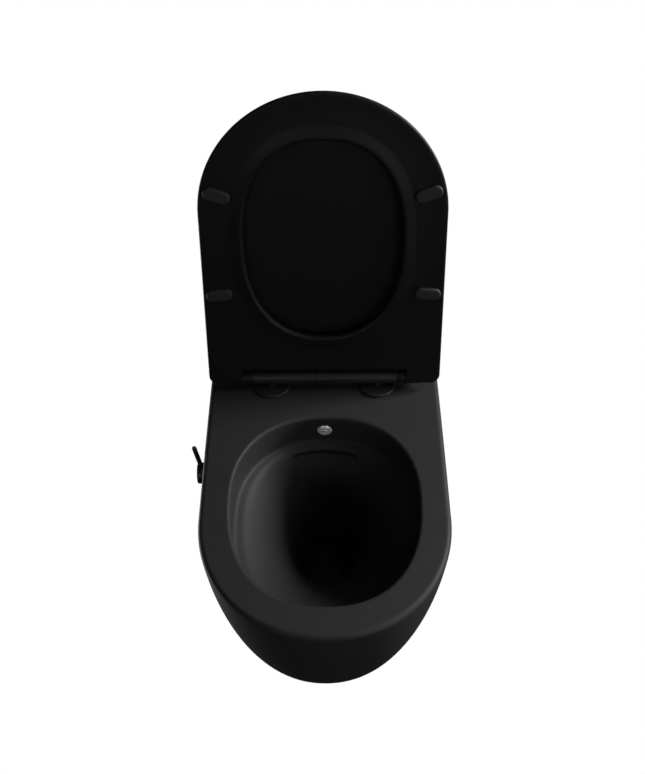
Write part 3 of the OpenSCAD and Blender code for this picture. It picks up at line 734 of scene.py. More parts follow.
def quarter(centre: tuple[float, float], radii: tuple[float, float], start: float, steps: int = 7) -> list:
    """A quarter of an ellipse, as points from a start angle on by 90 degrees."""
    turns = fan(start, start + 90, steps + 1)
    return [(centre[0] + radii[0] * math.cos(q), centre[1] + radii[1] * math.sin(q)) for q in turns]


# ------------------------------------------------------------------ geometry node tools


class GeometryTool:
    """A geometry node tree with named inputs, run on a start mesh or curve."""

    def __init__(self, name: str, inputs: Sequence[tuple[str, str, object]]) -> None:
        """Makes the tree's interface.

        Args:
            name: the tree's name.
            inputs: name, socket type and default of each input.
        """
        self.tree = bpy.data.node_groups.new(name, "GeometryNodeTree")
        face = self.tree.interface
        face.new_socket("Geometry", in_out="INPUT", socket_type="NodeSocketGeometry")
        for label, kind, default in inputs:
            made = face.new_socket(label, in_out="INPUT", socket_type=kind)
            if default is not None:
                made.default_value = default
        face.new_socket("Geometry", in_out="OUTPUT", socket_type="NodeSocketGeometry")
        self.graph = Graph(self.tree)
        self.given = self.graph.add("NodeGroupInput")

    def close(self, geometry: Wire) -> None:
        """Ends the tree in Realize Instances and Set Material.

        Args:
            geometry: what the tree has made.
        """
        plain = self.graph.add("GeometryNodeRealizeInstances", None, {"Geometry": geometry})["Geometry"]
        dressed = self.graph.add(
            "GeometryNodeSetMaterial", None, {"Geometry": plain, "Material": self.given["Material"]}
        )["Geometry"]
        self.graph.add("NodeGroupOutput", None, {"Geometry": dressed})

    def run(self, piece: bpy.types.Object, values: dict) -> bpy.types.Object:
        """Runs the tree on a piece and keeps the plain result.

        Args:
            piece: a mesh or curve object.
            values: the inputs' values by name.

        Returns:
            A mesh object with no modifier.
        """
        step = piece.modifiers.new(self.tree.name, "NODES")
        step.node_group = self.tree
        sockets = [item for item in self.tree.interface.items_tree if item.in_out == "INPUT"]
        names = {item.name: item.identifier for item in sockets}
        for label, value in values.items():
            step[names[label]] = value
        return evaluated(piece)


class PipeTool(GeometryTool):
    """Runs a round pipe along a curve with filleted bends."""

    def __init__(self) -> None:
        """Writes the tree."""
        super().__init__(
            "pipe_along_route",
            [
                ("Pipe Radius", "NodeSocketFloat", 0.004),
                ("Bend Radius", "NodeSocketFloat", 0.012),
                ("Sides", "NodeSocketInt", 24),
                ("Material", "NodeSocketMaterial", None),
            ],
        )
        graph = self.graph
        bent = graph.add(
            "GeometryNodeFilletCurve",
            {"mode": "POLY"},
            {"Curve": self.given["Geometry"], "Radius": self.given["Bend Radius"], "Count": 10},
        )["Curve"]
        circle = graph.add(
            "GeometryNodeCurvePrimitiveCircle",
            None,
            {"Resolution": self.given["Sides"], "Radius": self.given["Pipe Radius"]},
        )["Curve"]
        tube = graph.add(
            "GeometryNodeCurveToMesh", None, {"Curve": bent, "Profile Curve": circle, "Fill Caps": True}
        )["Mesh"]
        self.close(tube)

    def lay(self, name: str, route: Sequence[Sequence[float]], radius: float, bend: float,
            material: bpy.types.Material) -> bpy.types.Object:
        """Lays one pipe.

        Args:
            name: the piece's name.
            route: corner points of its line, in millimetres.
            radius: the pipe's radius, in millimetres.
            bend: the radius of its bends, in millimetres.
            material: its material.

        Returns:
            The pipe.
        """
        data = bpy.data.curves.new(name, "CURVE")
        data.dimensions = "3D"
        line = data.splines.new("POLY")
        line.points.add(len(route) - 1)
        for point, spot in zip(line.points, route):
            point.co = (*(c * MM for c in spot), 1.0)
        holder = bpy.data.objects.new(name, data)
        bpy.context.scene.collection.objects.link(holder)
        values = {"Pipe Radius": radius * MM, "Bend Radius": bend * MM, "Sides": 32, "Material": material}
        return soften(self.run(holder, values), 50.0)


class ThreadTool(GeometryTool):
    """Stands thread crests along a shaft, one ring for each turn."""

    def __init__(self) -> None:
        """Writes the tree."""
        super().__init__(
            "thread_crests",
            [
                ("Crests", "NodeSocketInt", 10),
                ("Pitch", "NodeSocketFloat", 0.001),
                ("Root Radius", "NodeSocketFloat", 0.003),
                ("Crest Radius", "NodeSocketFloat", 0.0034),
                ("Material", "NodeSocketMaterial", None),
            ],
        )
        graph = self.graph
        given = self.given
        half = given["Pitch"] * 0.46
        root, tip = given["Root Radius"], given["Crest Radius"]
        lower, upper = (
            graph.add(
                "GeometryNodeMeshCone",
                {"fill_type": "NGON"},
                {"Vertices": 40, "Radius Top": top, "Radius Bottom": bottom, "Depth": half},
            )["Mesh"]
            for top, bottom in ((tip, root), (root, tip))
        )
        lift = graph.add("ShaderNodeCombineXYZ", None, {"Z": half})["Vector"]
        raised = graph.add(
            "GeometryNodeTransform", None, {"Geometry": upper, "Translation": lift}
        )["Geometry"]
        crest = graph.add("GeometryNodeJoinGeometry")
        for part in (lower, raised):
            graph.tree.links.new(part.socket, crest.node.inputs[0])
        step = graph.add("ShaderNodeCombineXYZ", None, {"Z": given["Pitch"]})["Vector"]
        line = graph.add(
            "GeometryNodeMeshLine", {"mode": "OFFSET"}, {"Count": given["Crests"], "Offset": step}
        )["Mesh"]
        stood = graph.add(
            "GeometryNodeInstanceOnPoints", None, {"Points": line, "Instance": crest["Geometry"]}
        )["Instances"]
        self.close(stood)

    def cut(self, name: str, place: Matrix, length: float, pitch: float, root: float, crest: float,
            material: bpy.types.Material) -> bpy.types.Object:
        """Makes one threaded length.

        Args:
            name: the piece's name.
            place: the start of the thread, with local Z along it, in millimetres.
            length: how far the thread runs.
            pitch: the thread's pitch.
            root: radius between the crests.
            crest: radius over the crests.
            material: its material.

        Returns:
            The threaded length as a plain mesh in its place.
        """
        holder = bpy.data.objects.new(name, bpy.data.meshes.new(name))
        bpy.context.scene.collection.objects.link(holder)
        values = {
            "Crests": int(length / pitch),
            "Pitch": pitch * MM,
            "Root Radius": root * MM,
            "Crest Radius": crest * MM,
            "Material": material,
        }
        piece = self.run(holder, values)
        stand(piece, place)
        return soften(piece, 25.0)


class DomeTool(GeometryTool):
    """Raises a flat sheet into a dome by each point's distance from the sheet's edge."""

    def __init__(self) -> None:
        """Writes the tree."""
        super().__init__(
            "dome_over_outline",
            [
                ("Dome Height", "NodeSocketFloat", 0.013),
                ("Border Width", "NodeSocketFloat", 0.045),
                ("Lift", "NodeSocketFloat", 0.0),
                ("Material", "NodeSocketMaterial", None),
            ],
        )
        graph = self.graph
        given = self.given
        neighbours = graph.add("GeometryNodeInputMeshEdgeNeighbors")["Face Count"]
        border = graph.add(
            "FunctionNodeCompare",
            {"data_type": "INT", "operation": "EQUAL"},
            {2: neighbours, 3: 1},
        )["Result"]
        rim = graph.add(
            "GeometryNodeSeparateGeometry",
            {"domain": "EDGE"},
            {"Geometry": given["Geometry"], "Selection": border},
        )["Selection"]
        away = graph.add(
            "GeometryNodeProximity", {"target_element": "EDGES"}, {0: rim}
        )["Distance"]
        share = (away / given["Border Width"]).least(1.0)
        rise = given["Dome Height"] * (1.0 - (1.0 - share) ** 3.0) + given["Lift"]
        offset = graph.add("ShaderNodeCombineXYZ", None, {"Z": rise})["Vector"]
        raised = graph.add(
            "GeometryNodeSetPosition", None, {"Geometry": given["Geometry"], "Offset": offset}
        )["Geometry"]
        self.close(raised)


# ------------------------------------------------------------------ the pan


@dataclass
class Pan:
    """The glazed pan: outer body, rim, rimless bowl, sump, waterways and fixing pockets.

    Lengths run from the wall towards the front, depths from the rim down, all in millimetres.
    """

    palette: Palette
    length: float = 545.0
    width: float = 361.0
    height: float = 345.0
    rim_z: float = 80.0
    edge: float = 8.0
    nose: float = 194.0
    foot_length: float = 300.0
    foot_width: float = 146.0
    foot_nose: float = 50.0
    taper: float = 5.0
    taper_power: float = 1.5
    flank_fall: tuple[float, float] = (2.11, 1.95)
    nose_fall: tuple[float, float] = (1.58, 2.59)
    nose_power: float = 0.952
    back_corner: float = 3.0
    row_power: float = 1.6
    rim_margin: float = 1.5
    widest: float = 0.444
    deck: float = 168.0
    front_rim: float = 48.5
    side_rim: float = 47.5
    front_power: float = 2.38
    rear_power: float = 2.22
    sump_power: float = 2.2
    lip: float = 5.0
    wall: float = 50.0
    ledge: float = 8.0
    ledge_side: float = 16.0
    ledge_rear: float = 7.0
    ledge_front: float = 18.0
    sump_depth: float = 185.0
    sump_width: float = 102.0
    sump_rear: float = 213.0
    sump_length: float = 131.0
    sump_widest: float = 0.45
    sump_round: float = 0.7
    front_fall: float = 1.3
    side_fall: float = 1.75
    smoothings: int = 4
    lean: float = 5.0
    china: float = 12.0
    trap_radius: float = 30.0
    seal: float = 50.0
    outlet_z: float = -100.0
    outlet_radius: float = 51.0
    outlet_wall: float = 8.0
    outlet_length: float = 46.0
    outlet_room: float = 13.0
    inlet_z: float = 35.0
    inlet_radius: float = 27.5
    inlet_length: float = 42.0
    spine: float = 60.0
    hollow_length: float = 127.0
    hollow_height: float = 234.0
    deck_thickness: float = 16.0
    bridge_depth: float = 24.0
    bridge_height: float = 64.0
    bridge_reach: float = 35.0
    slot_width: float = 100.0
    slot_height: float = 6.0
    stud_spacing: float = 180.0
    stud_bore: float = 9.0
    fixing_spacing: float = 155.0
    fixing_along: float = 97.0
    fixing_radius: float = 8.0
    nose_columns: int = 44
    flank_columns: int = 12
    back_columns: int = 10
    body_rows: int = 44
    wall_rows: int = 6
    ledge_rows: int = 8
    slope_rows: int = 28
    sump_rows: int = 14
    hollow_rows: int = 16

    @property
    def front(self) -> float:
        """Length at which the bowl's opening ends."""
        return self.length - self.front_rim

    @property
    def side(self) -> float:
        """Half width of the bowl's opening."""
        return self.width / 2 - self.side_rim

    def kept(self, depth: float, powers: tuple[float, float]) -> float:
        """Share of the rim's overhang over the foot that is left at a depth."""
        return max(0.0, 1 - (depth / self.height) ** powers[0]) ** (1 / powers[1])

    def half_width(self, depth: float) -> float:
        """Half width of the body at a depth."""
        low, high = self.foot_width / 2, self.width / 2
        return low + (high - low) * self.kept(depth, self.flank_fall)

    def reach(self, depth: float) -> float:
        """Length of the body at a depth."""
        return self.foot_length + (self.length - self.foot_length) * self.kept(depth, self.nose_fall)

    def nose_start(self, depth: float) -> float:
        """Length at which the round nose begins, at a depth."""
        top, low = self.length - self.nose, self.foot_length - self.foot_nose
        return top + (low - top) * depth / self.height

    def flank(self, along: float, depth: float) -> float:
        """Half width of the flank at a length and a depth."""
        return self.half_width(depth) - self.taper * (along / self.nose_start(depth)) ** self.taper_power

    def body_ring(self, depth: float, inset: float) -> Ring:
        """Outline of the body.

        Args:
            depth: depth below the rim.
            inset: how far the outline is drawn in.

        Returns:
            The ring, from the front round by the right flank and the wall.
        """
        start = self.nose_start(depth)
        half = self.flank(start, depth) - inset
        reach = self.reach(depth) - inset - start
        turns = fan(90.0, 0.0, self.nose_columns + 1)
        across, onward = spow(np.cos(turns), self.nose_power), spow(np.sin(turns), self.nose_power)
        nose = np.stack([half * across, -(start + reach * onward)], axis=1)
        corner = self.back_corner
        along = np.linspace(start, corner, self.flank_columns + 1)[1:]
        flank = np.array([[self.flank(l, depth) - inset, -l] for l in along])
        wide = self.flank(0.0, depth) - inset
        arc = fan(22.5, 90.0, 4)
        bend = np.stack([wide - corner + corner * np.cos(arc), -corner + corner * np.sin(arc)], axis=1)
        back = np.stack([np.linspace(wide - corner, 0.0, self.back_columns + 1)[1:],
                         np.zeros(self.back_columns)], axis=1)
        right = np.concatenate([nose, flank, bend, back])
        left = right[-2:0:-1] * [-1, 1]
        return level(np.concatenate([right, left]), self.rim_z - depth)

    def columns(self) -> np.ndarray:
        """Angle of each column about the middle of the bowl's opening."""
        ring = self.body_ring(0.0, self.edge)
        middle = self.deck + (self.front - self.deck) * self.widest
        return np.arctan2(ring[:, 1] + middle, ring[:, 0])

    def bowl_ring(self, rear: float, front: float, half: float, depth: float, share: float = 0.0) -> Ring:
        """Outline of the bowl at a depth.

        Args:
            rear: length of its back.
            front: length of its front.
            half: its half width.
            depth: its depth below the rim.
            share: how far its squareness has come from the opening's, at 0, to the sump's, at 1.

        Returns:
            The ring, with the body's columns.
        """
        middle = rear + (front - rear) * self.widest
        angles = self.columns()
        behind = np.sin(angles) > 0
        reach = np.where(behind, middle - rear, front - middle)
        power = np.where(behind, self.rear_power, self.front_power) * (1 - share) + self.sump_power * share
        spread = (np.abs(np.cos(angles)) / half) ** power + (np.abs(np.sin(angles)) / reach) ** power
        radius = spread ** (-1 / power)
        flat = np.column_stack([radius * np.cos(angles), radius * np.sin(angles) - middle])
        return level(flat, self.rim_z - depth)

    def bowl_rows(self) -> np.ndarray:
        """Back, front, half width, depth and squareness of each row of the bowl.

        Returns:
            One row of numbers for each ring, from the lip's foot down to the sump's floor.
        """
        lean = (self.wall - self.lip) * math.tan(math.radians(self.lean))
        floor = self.wall + self.ledge
        rows = []
        for u in np.linspace(0.0, 1.0, self.wall_rows + 1)[:-1]:
            depth = self.lip + (self.wall - self.lip) * u
            rows.append((self.deck - lean * u, self.front, self.side, depth, 0.0))
        for a in fan(0.0, 90.0, self.ledge_rows + 1):
            come = 1 - math.cos(a)
            rows.append((
                self.deck - lean + (lean + self.ledge_rear) * come,
                self.front - self.ledge_front * come,
                self.side - self.ledge_side * come,
                self.wall + self.ledge * math.sin(a),
                0.0,
            ))
        ledge = (self.deck + self.ledge_rear, self.front - self.ledge_front, self.side - self.ledge_side)
        mouth = (self.sump_rear, self.sump_rear + self.sump_length, self.sump_width / 2)
        for u in np.linspace(0.0, 1.0, self.slope_rows + 1)[1:]:
            falls = (u, 1 - (1 - u) ** self.front_fall, 1 - (1 - u) ** self.side_fall)
            place = [a + (b - a) * f for a, b, f in zip(ledge, mouth, falls)]
            rows.append((*place, floor + (self.sump_depth - floor) * u, u))
        middle = self.sump_rear + self.sump_length * self.sump_widest
        drop = self.rim_z - self.sump_depth - self.floor_z
        for u in np.linspace(0.0, 1.0, self.sump_rows + 1)[1:]:
            k = math.sqrt(1 - self.sump_round * u * u)
            rows.append((
                middle - self.sump_length * self.sump_widest * k,
                middle + self.sump_length * (1 - self.sump_widest) * k,
                self.sump_width / 2 * k,
                self.sump_depth + drop * u,
                1.0,
            ))
        table = np.array(rows)
        for _ in range(self.smoothings):
            table[2:-1] = (table[1:-2] + 2 * table[2:-1] + table[3:]) / 4
        return table

    @property
    def weir_z(self) -> float:
        """Height of the weir."""
        return self.outlet_z

    @property
    def floor_z(self) -> float:
        """Height of the sump's floor."""
        return self.weir_z - self.seal - 2 * self.trap_radius + 2

    def skin(self) -> bpy.types.Object:
        """The closed outer surface with the bowl in it.

        Returns:
            The skin, lofted from the foot up over the rim and down to the sump's floor.
        """
        rows = 1 - (1 - np.linspace(0.0, 1.0, self.body_rows + 1)) ** self.row_power
        body = [self.body_ring(self.edge + (self.height - self.edge) * u, 0.0) for u in rows[::-1]]
        bend = [
            self.body_ring(self.edge * (1 - math.cos(a)), self.edge * (1 - math.sin(a)))
            for a in fan(80.0, 0.0, 9)
        ]
        rim = [self.body_ring(0.0, self.edge + self.rim_margin)]
        out = self.lip + self.rim_margin
        rim.append(self.bowl_ring(self.deck - out, self.front + out, self.side + out, 0.0))
        lip = []
        for a in fan(0.0, 75.0, 6):
            out = self.lip * (1 - math.sin(a))
            depth = self.lip * (1 - math.cos(a))
            lip.append(self.bowl_ring(self.deck - out, self.front + out, self.side + out, depth))
        bowl = [self.bowl_ring(*row) for row in self.bowl_rows()]
        return loft("pan_skin", body + bend + rim + lip + bowl)

    def trap(self) -> bpy.types.Object:
        """The waterway from the sump over the weir to the outlet.

        Returns:
            A cutting tool.
        """
        low = self.weir_z - self.seal - self.trap_radius
        crest = self.weir_z + self.trap_radius
        bore = self.outlet_radius - self.outlet_wall
        sump, out = -self.sump_rear, -self.outlet_length
        knots = [
            (sump - 50, low + 18), (sump - 24, low + 4), (sump + 4, low), (sump + 32, low + 10),
            (sump + 54, low + 36), (sump + 74, (low + crest) / 2 + 20), (sump + 102, crest),
            (out - 34, crest - 4), (out - 14, self.outlet_z + 12), (out + 8, self.outlet_z),
        ]
        path = smooth_path([(0, y, z) for y, z in knots], 5)
        sizes = [self.trap_radius] * 7 + [self.trap_radius + 2, bore - 6, bore - 2]
        radii = np.interp(np.linspace(0, 9, len(path)), range(10), sizes)
        return sweep("trap", path, radii, 48)

    def hollow(self, side: int) -> bpy.types.Object:
        """One hollow behind the bowl, less the bridge that its wall stud passes through.

        Args:
            side: 1 for the right one, -1 for the left one.

        Returns:
            A cutting tool.
        """
        depths = self.deck_thickness + self.hollow_height * np.linspace(0.0, 1.0, self.hollow_rows + 1)
        outer = [(self.flank(self.hollow_length, d) - self.china, self.rim_z - d) for d in depths]
        profile = [(self.spine, self.rim_z - depths[0]), *outer, (self.spine, self.rim_z - depths[-1])]
        rings = [np.array([[side * x, y, z] for x, z in profile]) for y in (1.0, -self.hollow_length)]
        room = loft(f"hollow_{side}", rings)
        inner, outside = self.spine - 1, self.stud_spacing / 2 + self.bridge_reach
        low, high = sorted((side * inner, side * outside))
        bridge = block("bridge", (low, -self.bridge_depth, -self.bridge_height / 2),
                       (high, 4.0, self.bridge_height / 2))
        return combine(room, [bridge], "DIFFERENCE")

    def round_cuts(self, nozzle: "Nozzle", valve: "Valve") -> list[bpy.types.Object]:
        """Bores and spot faces.

        Args:
            nozzle: the nozzle that sits in the bowl's back wall.
            valve: the valve that sits in the left flank.

        Returns:
            Cutting tools.
        """
        inlet = frame_at((0, 0, self.inlet_z), (-90, "X"))
        flush = frame_at((0, -self.inlet_length + 6, self.inlet_z - 10), (98, "X"))
        outlet = frame_at((0, 0, self.outlet_z), (-90, "X"))
        near, far = self.outlet_radius, self.outlet_radius + self.outlet_room
        room = [(near, -self.outlet_length), (far, -self.outlet_length), (far, 1), (near, 1)]
        beyond = self.width / 2 + 1.5
        cuts = [
            rod("inlet", self.inlet_radius, inlet, -self.inlet_length, 1, 96),
            rod("flush_pipe", 13, flush, 0, self.deck - self.inlet_length - 24),
            rod("outlet", near - self.outlet_wall, outlet, -self.outlet_length, 1, 96),
            revolve("outlet_room", room, outlet),
        ]
        for side in (-1, 1):
            stud = frame_at((side * self.stud_spacing / 2, 0, 0), (-90, "X"))
            cuts.append(rod("stud", self.stud_bore, stud, -self.bridge_depth - 1, 1))
            cap = frame_at((0, -Caps.along, 0), (side * 90, "Y"))
            inner = self.flank(Caps.along, self.rim_z) - self.china - 4
            cuts.append(rod("access", Caps.radius + 0.2, cap, inner, beyond))
            cuts.append(rod("cap_seat", Caps.radius + 2.4, cap, Caps.seat(self), beyond))
            fixing = frame_at((side * self.fixing_spacing / 2, -self.fixing_along, self.rim_z))
            cuts.append(rod("fixing", self.fixing_radius, fixing, -self.deck_thickness - 1, 1))
        jet, lever = nozzle.place(self), valve.place(self)
        return cuts + [
            rod("nozzle_hole", nozzle.tail_radius + 0.3, jet, -30, 1),
            rod("nozzle_nut_seat", 12, jet, -self.china - 6, -self.china),
            rod("nozzle_seat", nozzle.flange_radius + 0.6, jet, 0, 8),
            rod("valve_hole", valve.shank_radius + 0.3, lever, -self.china - 6, 6),
            rod("valve_seat", valve.hub_radius + 1, lever, 0, 12, 96),
        ]

    def square_cuts(self, nozzle: "Nozzle", valve: "Valve") -> list[bpy.types.Object]:
        """Pipe room, cross tunnel and flush slot.

        Args:
            nozzle: the nozzle that the tunnel leads to.
            valve: the valve that the pipe room is for.

        Returns:
            Cutting tools.
        """
        outer = self.flank(valve.along, valve.depth) - self.china
        valve_z, jet_z = self.rim_z - valve.depth, self.rim_z - nozzle.depth
        back, front = -self.hollow_length + 6, -valve.along - 20
        tunnel = nozzle.face(self) + self.china + 0.8
        slot = self.rim_z - self.wall - self.ledge - 10
        half, high = self.slot_width / 2, self.slot_height / 2
        return [
            block("pipe_room", (-outer, front, valve_z - 28), (-outer + 24, back, valve_z + 28)),
            block("tunnel", (-outer, tunnel, jet_z - 13), (16, tunnel + 44, jet_z + 13)),
            block("flush_slot", (-half, -self.deck - 22, slot - high), (half, -self.deck + 40, slot + high)),
        ]

    def build(self, nozzle: "Nozzle", valve: "Valve") -> None:
        """Makes the pan, dresses it and lets it stand for the CAD pan.

        Args:
            nozzle: the nozzle in the bowl's back wall.
            valve: the valve in the left flank.
        """
        pan = self.skin()
        pan.name = "pan_china"
        tools = [self.trap(), self.hollow(-1), self.hollow(1)]
        tools += self.square_cuts(nozzle, valve) + self.round_cuts(nozzle, valve)
        combine(pan, tools, "DIFFERENCE")
        self.palette.fit(pan, Look.CHINA, "root", "pan", 32.0)


# ------------------------------------------------------------------ fittings on the pan


class Caps:
    """The covers of the access holes in the flanks."""

    along: float = 50.0
    radius: float = 18.0
    sunk: float = 3.0

    @classmethod
    def seat(cls, pan: Pan) -> float:
        """Distance of the covers' seat from the middle plane."""
        return pan.flank(cls.along, pan.rim_z + cls.radius) - cls.sunk

    @classmethod
    def build(cls, pan: Pan, palette: Palette) -> None:
        """Makes both covers as one piece.

        Args:
            pan: the pan they sit in.
            palette: where their finish comes from.
        """
        seat, r = cls.seat(pan), cls.radius
        profile = rounded([
            (ON_AXIS, seat - 1.5, 0), (r - 3, seat - 1.5, 0.5), (r - 3, seat - 12, 0.5), (r, seat - 12, 0.6),
            (r, seat, 0), (r + 2.2, seat, 0.3), (r + 2.2, seat + 1.9, 0.9), (r - 4, seat + 2.4, 3),
            (ON_AXIS, seat + 2.1, 0),
        ])
        covers = []
        for side in (-1, 1):
            covers.append(revolve(f"cap_{side}", profile, frame_at((0, -cls.along, 0), (side * 90, "Y"))))
        palette.fit(joined("flank_covers", covers), Look.HINGE, "root", "flank_caps", 32.0)


@dataclass
class Nozzle:
    """The bidet nozzle in the bowl's back wall, with its feed pipe."""

    palette: Palette
    depth: float = 30.5
    flange_radius: float = 11.8
    tail_radius: float = 6.0
    tail: float = 33.0
    thread_depth: float = 0.7
    thread_pitch: float = 1.0

    def face(self, pan: Pan) -> float:
        """The y of the flat that the flange lies on."""
        return 0.4 - pan.deck + (self.depth - pan.lip) * math.tan(math.radians(pan.lean))

    def place(self, pan: Pan) -> Matrix:
        """The nozzle's frame: local Z out of the wall into the bowl."""
        return frame_at((0, self.face(pan), pan.rim_z - self.depth), (90 + pan.lean, "X"))

    def build(self, pan: Pan, pipes: PipeTool, threads: ThreadTool) -> None:
        """Makes the flange, the jet and the feed pipe.

        Args:
            pan: the pan that they sit in.
            pipes: the tool that lays pipes.
            threads: the tool that cuts threads.
        """
        place = self.place(pan)
        shank, r = self.tail_radius - self.thread_depth, self.flange_radius
        flange = revolve("nozzle_dish", rounded([
            (4.2, -self.tail, 0.3), (shank, -self.tail, 0.4), (shank, 0.5, 0), (r, 0.5, 0.2),
            (r - 0.3, 1.1, 0.3), (r - 1.4, 2.1, 0.8), (r - 3.0, 3.1, 1.2), (r - 5.0, 3.7, 1.2),
            (4.9, 3.5, 0.3), (4.2, 1.9, 0.2),
        ]), place, 128)
        self.palette.fit(flange, Look.CHROME, "root", "nozzle_flange")
        jet = revolve("nozzle_plug", rounded([
            (1.7, -10, 0), (4.15, -10, 0), (4.15, 0.4, 0.2), (3.7, 3.7, 0.5), (2.8, 4.2, 0.4),
            (1.7, 3.7, 0.2),
        ]), place, 96)
        self.palette.fit(jet, Look.CHROME, "root", "nozzle_jet")
        insert = revolve("nozzle_insert", rounded([
            (0.5, -9.5, 0), (1.68, -9.5, 0), (1.68, 3.2, 0.2), (1.1, 2.8, 0.2), (0.5, 0.2, 0.1),
        ]), place, 64)
        self.palette.fit(insert, Look.RUBBER, "root", "nozzle_jet")
        start = place @ Matrix.Translation((0, 0, 8 - self.tail))
        chrome = self.palette.material(Look.CHROME)
        thread = threads.cut(
            "nozzle_thread", start, self.tail - 10, self.thread_pitch, shank, self.tail_radius, chrome
        )
        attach(thread, "root")
        low, high = (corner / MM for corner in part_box("feed_pipe"))
        x, top, bottom = low.x + PIPE_RADIUS, high.z - PIPE_RADIUS, low.z + PIPE_RADIUS
        back, front = high.y - PIPE_RADIUS, low.y
        route = [
            (high.x, back, top), (x + 20, back, top - 4), (x, back - 10, top - 14), (x, back - 28, bottom),
            (x, front, bottom),
        ]
        zinc = self.palette.material(Look.ZINC)
        pipe = pipes.lay("bidet_feed", route, PIPE_RADIUS - PUSH_FIT, 16.0, zinc)
        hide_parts("feed_pipe")
        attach(pipe, "root")


@dataclass
class Valve:
    """The bidet valve on the left flank, with its lever."""

    palette: Palette
    along: float = 227.0
    depth: float = 58.0
    shank_radius: float = 10.0
    hub_radius: float = 16.5
    hub: float = 15.4
    collar_radius: float = 15.5
    collar: float = 3.0
    gap: float = 0.3
    lever_radius: float = 3.6
    lever: float = 51.0
    lean_out: float = 13.0
    lean_back: float = 12.0

    def place(self, pan: Pan) -> Matrix:
        """The valve's frame: local Z out of the left flank, local X up."""
        seat = pan.flank(self.along, self.depth + self.hub_radius) - 0.8
        return frame_at((-seat, -self.along, pan.rim_z - self.depth), (-90, "Y"))

    def build(self, pan: Pan, pipes: PipeTool, threads: ThreadTool) -> None:
        """Makes the collar, the hub, the lever and the supply pipe.

        Args:
            pan: the pan that they sit in.
            pipes: the tool that lays pipes.
            threads: the tool that cuts threads.
        """
        place = self.place(pan)
        bore, wide, thick = self.shank_radius + PUSH_FIT, self.collar_radius, self.collar
        collar = revolve("valve_collar", rounded([
            (bore, 0, 0), (wide, 0, 0.3), (wide, thick, 0.8), (4.3, thick, 0.2), (4.3, 1.7, 0),
            (bore, 1.7, 0),
        ]), place, 128)
        self.palette.fit(collar, Look.VALVE, "root", "valve_escutcheon")
        low = self.collar + self.gap
        hub = peg("valve_hub", self.hub_radius, place, (low, low + self.hub), (0.7, 2.6), 128, 8)
        self.palette.fit(hub, Look.VALVE, "lever", "lever_hub")
        middle = place @ Matrix.Translation((0, 0, low + self.hub / 2 - 1))
        arm = middle @ turned(self.lean_back, "Z") @ turned(90 - self.lean_out, "Y")
        q = self.lever_radius
        neck = [(ON_AXIS, 8.2), (q, 8.2), (q, 14.6), (q + 0.35, 15.6), (q + 0.35, 17.4), (q, 18.6)]
        turns = fan(0, 89.5, 14)
        tip = [(q * math.cos(a), self.lever - q + q * math.sin(a)) for a in turns]
        pin = revolve("valve_lever", neck + tip + [(ON_AXIS, self.lever)], arm, 64)
        self.palette.fit(pin, Look.VALVE, "lever", "lever_pin")
        low_box, high_box = (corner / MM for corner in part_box("supply_pipe"))
        x, z = (low_box.x + high_box.x) / 2, (low_box.z + high_box.z) / 2
        root, crest, pitch = 7.4, 8.3, 1.4
        nipple = revolve("nipple", [
            (ON_AXIS, -14), (root, -14), (root, -2.8), (root - 0.8, -2), (5.2, -2), (4.7, -2.5), (4.7, -12),
            (ON_AXIS, -12),
        ], frame_at((x, 0, z), (-90, "X")), 48)
        zinc = self.palette.material(Look.ZINC)
        pipe = pipes.lay("bidet_supply", [(x, low_box.y, z), (x, -13, z)], PIPE_RADIUS, 1.0, zinc)
        start = frame_at((x, -13.2, z), (-90, "X"))
        thread = threads.cut("nipple_thread", start, 11, pitch, root, crest, zinc)
        piece = joined("bidet_supply", [nipple, pipe, thread])
        self.palette.fit(piece, Look.ZINC, "root", "supply_pipe", 30.0)


# ------------------------------------------------------------------ seat and lid


